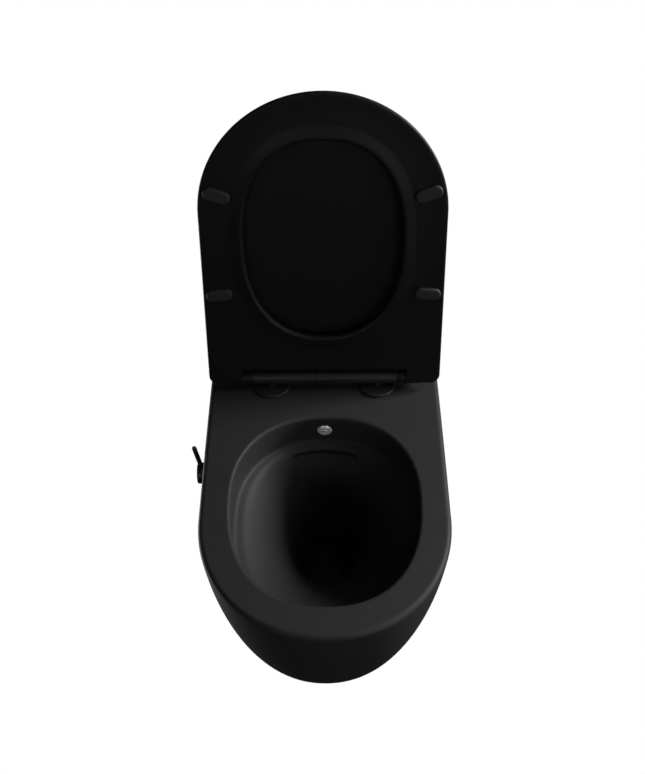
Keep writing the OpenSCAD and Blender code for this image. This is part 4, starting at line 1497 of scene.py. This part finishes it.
@dataclass
class Outline:
    """The outline that the seat and the lid share, in millimetres in front of the hinge axis."""

    length: float = 454.0
    width: float = 357.0
    front_width: float = 345.0
    nose: float = 174.0
    back: float = 5.0
    corner: float = 14.0
    opening_front: float = 389.0
    opening_rear: float = 83.0
    opening_width: float = 224.0
    front_power: float = 2.38
    rear_power: float = 2.28
    nose_steps: int = 40
    flank_steps: int = 20
    corner_steps: int = 8
    back_steps: int = 16

    def _whole(self, right: np.ndarray) -> np.ndarray:
        """Both halves from the right one, with the front towards -Y."""
        right = right * [1, -1]
        return np.concatenate([right, right[-2:0:-1] * [-1, 1]])

    def outer(self, inset: float) -> np.ndarray:
        """The outline drawn in by an inset.

        Args:
            inset: how far it is drawn in.

        Returns:
            Points as x and y, from the front round by the right.
        """
        radius = max(self.corner, inset + 2)
        half, reach = self.front_width / 2 - inset, self.nose - inset
        centre, wide = self.length - self.nose, self.width / 2
        turns = fan(90, 0, self.nose_steps + 1)
        nose = np.stack([half * np.cos(turns), centre + reach * np.sin(turns)], axis=1)
        u = np.linspace(0, 1, self.flank_steps + 1)[1:, None]
        flank = np.array([[half, centre]]) * (1 - u) + np.array([[wide - inset, radius - self.back]]) * u
        q = fan(0, 90, self.corner_steps + 1)[1:]
        bend = np.stack([wide - radius + (radius - inset) * np.cos(q),
                         radius - self.back - (radius - inset) * np.sin(q)], axis=1)
        back = np.stack([np.linspace(wide - radius, 0, self.back_steps + 1)[1:],
                         np.full(self.back_steps, inset - self.back)], axis=1)
        return self._whole(np.concatenate([nose, flank, bend, back]))

    def inner(self) -> np.ndarray:
        """The seat's opening.

        Returns:
            Points as x and y, one for each point of the outline.
        """
        middle = (self.opening_front + self.opening_rear) / 2
        reach = (self.opening_front - self.opening_rear) / 2
        turns = np.concatenate([
            np.linspace(90, 0, self.nose_steps + 1),
            np.linspace(0, -38.5, self.flank_steps + 1)[1:],
            np.linspace(-38.5, -54.5, self.corner_steps + 1)[1:],
            np.linspace(-54.5, -90, self.back_steps + 1)[1:],
        ])
        power = np.where(turns > 0, self.front_power, self.rear_power)
        q = np.radians(turns)
        right = np.stack([self.opening_width / 2 * spow(np.cos(q), 2 / power),
                          middle + reach * spow(np.sin(q), 2 / power)], axis=1)
        return self._whole(right)


@dataclass
class Hinge:
    """The hinge bar with its button, posts and rosettes, and the frame of what turns on it."""

    palette: Palette
    along: float = 97.0
    up: float = 19.0
    lean_back: float = 8.0
    bar_radius: float = 11.5
    bar: float = 224.0
    knuckle: float = 14.6
    gap: float = 0.3
    lug: float = 20.0
    pin_radius: float = 3.5
    post_spacing: float = 165.0
    post_radius: float = 8.0
    rosette_radius: float = 28.5
    rosette: float = 4.5
    rosette_wall: float = 4.2
    rosette_room: float = 1.4
    forward: float = 1.0
    plate: float = 2.5
    button_length: float = 29.0
    button_width: float = 16.0
    button_proud: float = 0.4
    button_base: float = 4.0
    button_tilt: float = 45.0
    button_room: float = 0.3
    groove: float = 9.0
    damper_bore: float = 55.0
    damper_radius: float = 6.45

    @property
    def notch(self) -> float:
        """Half width of the notch that the bar and the knuckles lie in."""
        return self.bar / 2 + self.gap + self.knuckle + self.gap

    def axis(self, rim_z: float) -> Matrix:
        """Frame at the middle of the hinge axis."""
        return frame_at((0, -self.along, rim_z + self.up))

    def opened(self, rim_z: float) -> Matrix:
        """Frame of the open seat and lid: drawn closed, turned up and back."""
        return self.axis(rim_z) @ turned(-90 - self.lean_back, "X")

    def lying(self, rim_z: float) -> Matrix:
        """Frame whose local Z runs along the hinge axis."""
        return self.axis(rim_z) @ turned(90, "Y")

    def outward(self, rim_z: float, side: int) -> Matrix:
        """Frame whose local Z runs along the hinge axis out to a side."""
        return self.lying(rim_z) @ turned(0 if side > 0 else 180, "X")

    def button_frame(self, rim_z: float) -> Matrix:
        """Frame on the axis whose local Z runs out through the button."""
        return self.axis(rim_z) @ turned(self.button_tilt, "X")

    def build(self, rim_z: float) -> None:
        """Makes the bar, the button, the posts and the rosettes.

        Args:
            rim_z: height of the deck.
        """
        fit = self.palette.fit
        fit(self._bar(rim_z), Look.HINGE, "root", "hinge_bar", 32.0)
        fit(self._button(rim_z), Look.HINGE, "button", "release_button", 50.0)
        r, high, top = self.rosette_radius, self.rosette, self.up - 2.0
        neck, under = self.post_radius + self.rosette_room, self.plate + 0.3
        inside = r - self.rosette_wall
        profile = rounded([
            (r, 0, 0.25), (r, high, 1.8), (neck, high, 0.5), (neck, under, 0), (inside, under, 0),
            (inside, 0, 0),
        ], 7)
        posts, roses = [], []
        for side in (-1, 1):
            foot = frame_at((side * self.post_spacing / 2, -self.along, rim_z))
            posts.append(peg(f"post_{side}", self.post_radius, foot, (self.plate, top), (0, 0), 72))
            rose = foot @ Matrix.Translation((0, -self.forward, 0))
            roses.append(revolve(f"rose_{side}", profile, rose, 144))
        trim = rod("trim", self.bar_radius + 0.02, self.lying(rim_z), -self.bar / 2, self.bar / 2, 96)
        stands = combine(joined("bar_posts", posts), [trim], "DIFFERENCE")
        fit(stands, Look.HINGE, "root", "hinge_posts")
        fit(joined("deck_rosettes", roses), Look.HINGE, "root", "hinge_rosettes")

    def _bar(self, rim_z: float) -> bpy.types.Object:
        """The bar with its damper bores, button slot and moulding lines.

        Args:
            rim_z: height of the deck.

        Returns:
            The bar.
        """
        half, r, bore = self.bar / 2, self.bar_radius, self.damper_radius
        deep, groove = half - self.damper_bore, half - self.groove
        profile = rounded([
            (bore, deep, 0), (bore, half, 0), (r, half, 0.5), (r, groove + 0.7, 0.15),
            (r - 0.35, groove + 0.35, 0), (r, groove, 0.15), (r, deep, 0),
        ], 3)
        ends = [revolve(f"bar_end_{side}", profile, self.outward(rim_z, side), 128) for side in (-1, 1)]
        middle = rod("bar_middle", r, self.lying(rim_z), 0.01 - deep, deep - 0.01, 128)
        room = 2 * self.button_room
        slot = stadium(self.button_length + room, self.button_width + room, 16)
        rings = [moved(level(slot, z), self.button_frame(rim_z)) for z in (1.8, r + 2)]
        bar = combine(middle, [loft("slot", rings)], "DIFFERENCE")
        return joined("hinge_barrel", [bar, *ends])

    def _button(self, rim_z: float) -> bpy.types.Object:
        """The release button, whose face follows the bar.

        Args:
            rim_z: height of the deck.

        Returns:
            The button.
        """
        radius = self.bar_radius + self.button_proud
        rings = [level(stadium(self.button_length, self.button_width, 16), self.button_base)]
        for shrink, drop in ((0, 0.55), (0.12, 0.2), (0.45, 0.0), (1.2, 0.0), (2.4, 0.0), (4.4, 0.0)):
            outline = stadium(self.button_length - 2 * shrink, self.button_width - 2 * shrink, 16)
            rings.append(np.column_stack([outline, np.sqrt(radius**2 - outline[:, 1] ** 2) - drop]))
        place = self.button_frame(rim_z)
        return loft("bar_button", [moved(ring, place) for ring in rings])


@dataclass
class Seat:
    """The seat ring with its lugs and buffers."""

    palette: Palette
    outline: Outline
    hinge: Hinge
    gap: float = 6.0
    thickness: float = 10.5
    notch: float = 22.0
    dish: float = 0.5
    bead: float = 2.6
    bead_width: float = 23.0
    play: float = 0.3
    buffer: tuple[float, float] = (38.0, 18.0)
    buffer_places: tuple[tuple[float, float, float], ...] = ((144, -314, -20), (151, -158, 5))

    @property
    def low(self) -> float:
        """Height of the underside from the hinge axis, closed."""
        return self.gap - self.hinge.up

    def section(self) -> list[tuple[str, float, float]]:
        """The ring's section.

        Returns:
            For each point, the edge it is measured from, the distance from that edge and the height.
        """
        low, high = self.low, self.low + self.thickness
        outer = from_edge("outer", quarter((3, low + 3.2), (3, 3.2), 180))
        flat = []
        for u in np.linspace(0.08, 0.96, 9):
            flat.append(("blend", u, low + self.dish * math.sin(math.pi * u) ** 2))
        slope = []
        for u in np.linspace(0.0, 1.0, 9):
            fall = 0.6 * u + 0.4 * (0.5 - 0.5 * math.cos(math.pi * u))
            slope.append(("inner", self.bead_width + (5.5 - self.bead_width) * u, low - self.bead * fall))
        crest = low - self.bead + 4.0
        under = slope + from_edge("inner", quarter((5, crest), (5, 4), 180)[::-1])
        over = from_edge("inner", quarter((11, low + 5.4), (11, high - low - 5.4), 90)[::-1])
        top = from_edge("outer", quarter((8, low + 3.2), (8, high - low - 3.2), 90))
        return outer + flat + under + over[1:] + top[:-1]

    def ring(self, place: Matrix) -> bpy.types.Object:
        """The ring before its notch is cut.

        Args:
            place: the frame that it is drawn in.

        Returns:
            The ring.
        """
        outer, inner = self.outline.outer(0), self.outline.inner()
        gap = inner - outer
        width = np.linalg.norm(gap, axis=1)[:, None]
        step = gap / width
        rings = []
        for start, end, unit, wide in zip(outer, inner, step, width):
            spots = []
            for edge, along, z in self.section():
                if edge == "outer":
                    spot = start + unit * along
                elif edge == "inner":
                    spot = end - unit * along
                else:
                    spot = start + unit * (3 + (wide - 3 - self.bead_width) * along)
                spots.append((*spot, z))
            rings.append(moved(np.array(spots), place))
        return loft("seat_ring", rings, closed=True)

    def build(self, rim_z: float) -> None:
        """Makes the ring and its buffers.

        Args:
            rim_z: height of the rim.
        """
        hinge = self.hinge
        place = hinge.opened(rim_z)
        ring = self.ring(place)
        notch = block("notch", (-hinge.notch, -self.notch, -20), (hinge.notch, self.notch, 12))
        stand(notch, place)
        combine(ring, [notch], "DIFFERENCE")
        start, end = hinge.notch, hinge.notch + hinge.lug
        lugs, bores = [], []
        for side in (-1, 1):
            turn = hinge.outward(rim_z, side)
            lugs.append(peg(f"lug_{side}", hinge.bar_radius, turn, (start, end), (0.6, 2.2)))
            bores.append(rod("bore", hinge.pin_radius + PUSH_FIT, turn, start - 1, end - 2))
        combine(ring, lugs, "UNION")
        combine(ring, bores, "DIFFERENCE")
        bevelled(ring, 0.5)
        ring.name = "seat_shell"
        self.palette.fit(ring, Look.SEAT, "seat", "seat", 34.0)
        self._buffers(place)

    def _buffers(self, place: Matrix) -> None:
        """Makes the four buffers under the seat.

        Args:
            place: the frame that the seat is drawn in.
        """
        length, width = self.buffer
        high = self.gap - self.play
        steps = (
            (0.0, 0.0), (0.0, 0.6), (0.0, high - 2.2), (0.25, high - 1.2), (0.8, high - 0.45),
            (1.7, high - 0.08), (2.6, high), (5.0, high),
        )
        rings = [level(stadium(length - 2 * inset, width - 2 * inset, 14), -drop) for inset, drop in steps]
        pads = []
        for side in (-1, 1):
            for x, y, turn in self.buffer_places:
                spot = place @ frame_at((side * x, y, self.low), (side * turn, "Z"))
                pads.append(loft("pad", [moved(ring, spot) for ring in rings]))
        self.palette.fit(joined("seat_pads", pads), Look.RUBBER, "seat", "seat_buffers", 50.0)


@dataclass
class Lid:
    """The lid with its knuckles and buffers."""

    palette: Palette
    outline: Outline
    hinge: Hinge
    seat: Seat
    gap: float = 1.5
    height: float = 14.0
    border: float = 45.0
    inset: float = 6.0
    hollow: float = 6.0
    hollow_bend: float = 5.0
    rim: float = 16.0
    buffer_radius: float = 5.0
    buffer_places: tuple[tuple[float, float], ...] = ((118, -382), (158, -70))

    @property
    def low(self) -> float:
        """Height of the lid's edge from the hinge axis, closed."""
        return self.seat.low + self.seat.thickness + self.gap

    def ring(self, inset: float, z: float) -> Ring:
        """The lid's outline drawn in by an inset, at a height over its edge."""
        return level(self.outline.outer(self.inset + inset), self.low + z)

    def sheet(self, insets: Sequence[float]) -> bpy.types.Object:
        """A flat sheet of concentric rings that fills the outline.

        Args:
            insets: how far each ring is drawn in.

        Returns:
            The sheet, at height 0.
        """
        rings = [level(self.outline.outer(self.inset + s), 0.0) for s in insets]
        count = len(rings[0])
        points = np.concatenate(rings)
        faces = []
        for i in range(len(rings) - 1):
            for j in range(count):
                k = (j + 1) % count
                faces.append((i * count + j, i * count + k, (i + 1) * count + k, (i + 1) * count + j))
        faces.append(range((len(rings) - 1) * count, len(rings) * count))
        return solid("lid_sheet", points, faces)

    def shell(self, dome: DomeTool) -> bpy.types.Object:
        """The domed lid with its hollow underside, drawn closed in the hinge's frame.

        Args:
            dome: the tool that raises the top.

        Returns:
            The shell.
        """
        insets = np.concatenate([[0], self.border * np.linspace(0.12, 1.0, 22) ** 1.6, [60, 90]])
        top = dome.run(self.sheet(insets), {
            "Dome Height": (self.height * 0.915) * MM,
            "Border Width": self.border * MM,
            "Lift": (self.low + 1.2) * MM,
            "Material": self.palette.material(Look.SEAT),
        })
        count = len(self.outline.outer(0))
        raised = np.array([v.co for v in top.data.vertices]) / MM
        bpy.data.objects.remove(top)
        upper = [raised[i * count : (i + 1) * count] for i in range(len(insets))][::-1]
        edge = [self.ring(s, z) for s, z in ((0.1, 0.75), (0.35, 0.3), (0.8, 0.0), (1.6, 0.0))]
        inner = [self.ring(self.rim + s, self.hollow) for s in (7.0, 20.0, 60.0)]
        return loft("lid_shell", upper + edge + self._hollow_rows() + inner)

    def _hollow_rows(self) -> list[Ring]:
        """Rings that round the hollow's border.

        Returns:
            The rings, from the rim's flat up to the hollow's floor.
        """
        rows = [(-1.2, 0.0), (-0.35, 0.1), (0.0, 0.5)]
        for a in fan(0, 90, 9):
            come, rise = 1 - math.cos(a), math.sin(a)
            rows.append((self.hollow_bend * come, self.hollow - self.hollow_bend + self.hollow_bend * rise))
        return [self.ring(self.rim + s, z) for s, z in rows]

    def build(self, rim_z: float, dome: DomeTool) -> None:
        """Makes the lid and its buffers.

        Args:
            rim_z: height of the rim.
            dome: the tool that raises the lid's top.
        """
        hinge = self.hinge
        place = hinge.opened(rim_z)
        cut = hinge.bar_radius + 3
        shell = self.shell(dome)
        wide = hinge.notch + hinge.lug + 1
        combine(shell, [block("rear", (-wide, -cut, -20), (wide, 40, 40))], "DIFFERENCE")
        start = hinge.bar / 2 + hinge.gap
        end = start + hinge.knuckle
        arms, bores = [], []
        for side in (-1, 1):
            low, high = sorted((side * start, side * end))
            turn = turned(90 * side, "Y")
            arms.append(peg(f"knuckle_{side}", hinge.bar_radius, turn, (start, end), (0.4, 0.4)))
            arms.append(block("arm", (low, -cut - 6, self.low), (high, 0.0, self.low + 7.5)))
            bores.append(rod("bore", hinge.pin_radius + PUSH_FIT, turn, hinge.bar / 2 - 1, hinge.notch + 1))
        combine(shell, arms, "UNION")
        combine(shell, bores, "DIFFERENCE")
        bevelled(shell, 0.4)
        stand(shell, place)
        shell.name = "lid_cover"
        self.palette.fit(shell, Look.SEAT, "lid", "lid", 34.0)
        pads = []
        ends = (self.seat.play - self.gap, 0)
        for side in (-1, 1):
            for x, y in self.buffer_places:
                spot = place @ frame_at((side * x, y, self.low))
                pads.append(peg("pad", self.buffer_radius, spot, ends, (0.5, 0), 48))
        self.palette.fit(joined("lid_pads", pads), Look.RUBBER, "lid", "lid_buffers")


# ------------------------------------------------------------------ the rest


PLAIN_NODES: dict[str, Look] = {
    "wall_sleeves": Look.NATURAL,
    "wall_washers": Look.ZINC,
    "wall_nuts": Look.ZINC,
    "hinge_base_plates": Look.ZINC,
    "hinge_studs": Look.ZINC,
    "expansion_sleeves": Look.RUBBER,
    "sleeve_nuts": Look.BRASS,
    "damper_cartridges": Look.NATURAL,
    "button_spring": Look.ZINC,
    "hinge_pins": Look.ZINC,
    "nozzle_gasket": Look.RUBBER,
    "nozzle_nut": Look.BRASS,
    "nozzle_elbow": Look.FITTING,
    "valve_body": Look.BRASS,
    "valve_nut": Look.BRASS,
    "valve_spindle": Look.BRASS,
    "valve_disc": Look.NATURAL,
}


@dataclass(frozen=True)
class Lamp:
    """One soft box that faces the object.

    The azimuth runs from +X towards +Y and the elevation up from the horizon, both in degrees. The distance
    and the side of the square face are in metres, the power is in watts.
    """

    name: str
    azimuth: float
    elevation: float
    distance: float
    size: float
    power: float


LAMPS: tuple[Lamp, ...] = (
    Lamp("key", 15.0, 20.0, 2.4, 0.5, 28.0),
    Lamp("high_key", 15.0, 32.0, 2.4, 0.5, 33.0),
    Lamp("side", 0.0, 48.0, 2.4, 0.6, 5.0),
    Lamp("top", -60.0, 70.0, 2.2, 1.2, 1.8),
    Lamp("low_side", -25.0, 5.0, 2.4, 1.5, 6.0),
    Lamp("front", -60.0, 17.0, 2.4, 1.0, 6.0),
    Lamp("front_left", -110.0, 20.0, 2.4, 0.3, 3.0),
    Lamp("back", 100.0, -30.0, 2.4, 1.3, 36.0),
    Lamp("back_left", 155.0, -26.0, 2.4, 1.3, 30.0),
)


@dataclass
class Studio:
    """Camera, soft light and a pale floor."""

    lens: float = 43.42
    eye: tuple[float, float, float] = (0.0059, -1.1456, 1.1151)
    pitch: float = 44.75
    yaw: float = -0.49
    roll: float = -0.7
    target: tuple[float, float, float] = (0.0, -0.3, 0.06)
    sensor: float = 36.0
    floor_z: float = -0.34
    floor_half: float = 6.0
    floor_thickness: float = 0.02
    ambient: float = 0.015

    def camera(self) -> None:
        """Places the camera."""
        data = bpy.data.cameras.new("view")
        data.lens = self.lens
        data.sensor_width = self.sensor
        holder = bpy.data.objects.new("view", data)
        turn = turned(-self.yaw, "Z") @ turned(90 - self.pitch, "X") @ turned(self.roll, "Z")
        holder.matrix_world = Matrix.Translation(self.eye) @ turn
        bpy.context.scene.collection.objects.link(holder)
        bpy.context.scene.camera = holder

    def light(self, lamp: Lamp) -> None:
        """Adds one soft box.

        Args:
            lamp: where it stands and how bright it is.
        """
        data = bpy.data.lights.new(lamp.name, "AREA")
        data.size = lamp.size
        data.energy = lamp.power
        across, up = math.radians(lamp.azimuth), math.radians(lamp.elevation)
        toward = Vector((math.cos(up) * math.cos(across), math.cos(up) * math.sin(across), math.sin(up)))
        holder = bpy.data.objects.new(lamp.name, data)
        holder.location = Vector(self.target) + toward * lamp.distance
        holder.rotation_euler = toward.to_track_quat("Z", "Y").to_euler()
        bpy.context.scene.collection.objects.link(holder)

    def surround(self) -> None:
        """Makes the pale floor and the white surround."""
        square = np.array([[-1, -1], [1, -1], [1, 1], [-1, 1]]) * self.floor_half / MM
        heights = (self.floor_z - self.floor_thickness, self.floor_z)
        floor = loft("floor", [level(square, z / MM) for z in heights])
        paint = bpy.data.materials.new("pale_floor")
        paint.use_nodes = True
        graph = Graph(paint.node_tree)
        white = (1.0, 1.0, 1.0, 1.0)
        glow = graph.add("ShaderNodeEmission", None, {"Color": white, "Strength": 1.0})
        graph.add("ShaderNodeOutputMaterial", None, {"Surface": glow["Emission"]})
        floor.data.materials.append(paint)
        floor.visible_diffuse = False
        floor.visible_glossy = False
        floor.visible_shadow = False
        world = bpy.data.worlds.new("surround")
        bpy.context.scene.world = world
        world.use_nodes = True
        graph = Graph(world.node_tree)
        seen = graph.add("ShaderNodeLightPath")["Is Camera Ray"]
        lit, shown = (
            graph.add("ShaderNodeBackground", None, {"Color": white, "Strength": strength})["Background"]
            for strength in (self.ambient, 1.0)
        )
        mix = graph.add("ShaderNodeMixShader", None, {0: seen, 1: lit, 2: shown})["Shader"]
        graph.add("ShaderNodeOutputWorld", None, {"Surface": mix})

    def build(self) -> None:
        """Sets up everything round the object."""
        bpy.context.scene.view_settings.view_transform = "Standard"
        self.camera()
        for lamp in LAMPS:
            self.light(lamp)
        self.surround()


def dress_plain_nodes(palette: Palette) -> None:
    """Gives the CAD nodes that stay their finishes."""
    for name, look in PLAIN_NODES.items():
        palette.dress(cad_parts[name], look)


def main() -> None:
    """Builds every sub-assembly in order."""
    logging.basicConfig(level=logging.INFO, format="%(name)s: %(message)s")
    Studio().build()
    palette = Palette()
    pipes, threads, dome = PipeTool(), ThreadTool(), DomeTool()
    pan = Pan(palette)
    nozzle, valve = Nozzle(palette), Valve(palette)
    pan.build(nozzle, valve)
    log.info("pan built")
    nozzle.build(pan, pipes, threads)
    valve.build(pan, pipes, threads)
    Caps.build(pan, palette)
    log.info("nozzle, valve and covers built")
    hinge = Hinge(palette)
    hinge.build(pan.rim_z)
    outline = Outline()
    seat = Seat(palette, outline, hinge)
    seat.build(pan.rim_z)
    log.info("seat built")
    Lid(palette, outline, hinge, seat).build(pan.rim_z, dome)
    log.info("lid built")
    dress_plain_nodes(palette)


if __name__ == "__main__":
    main()
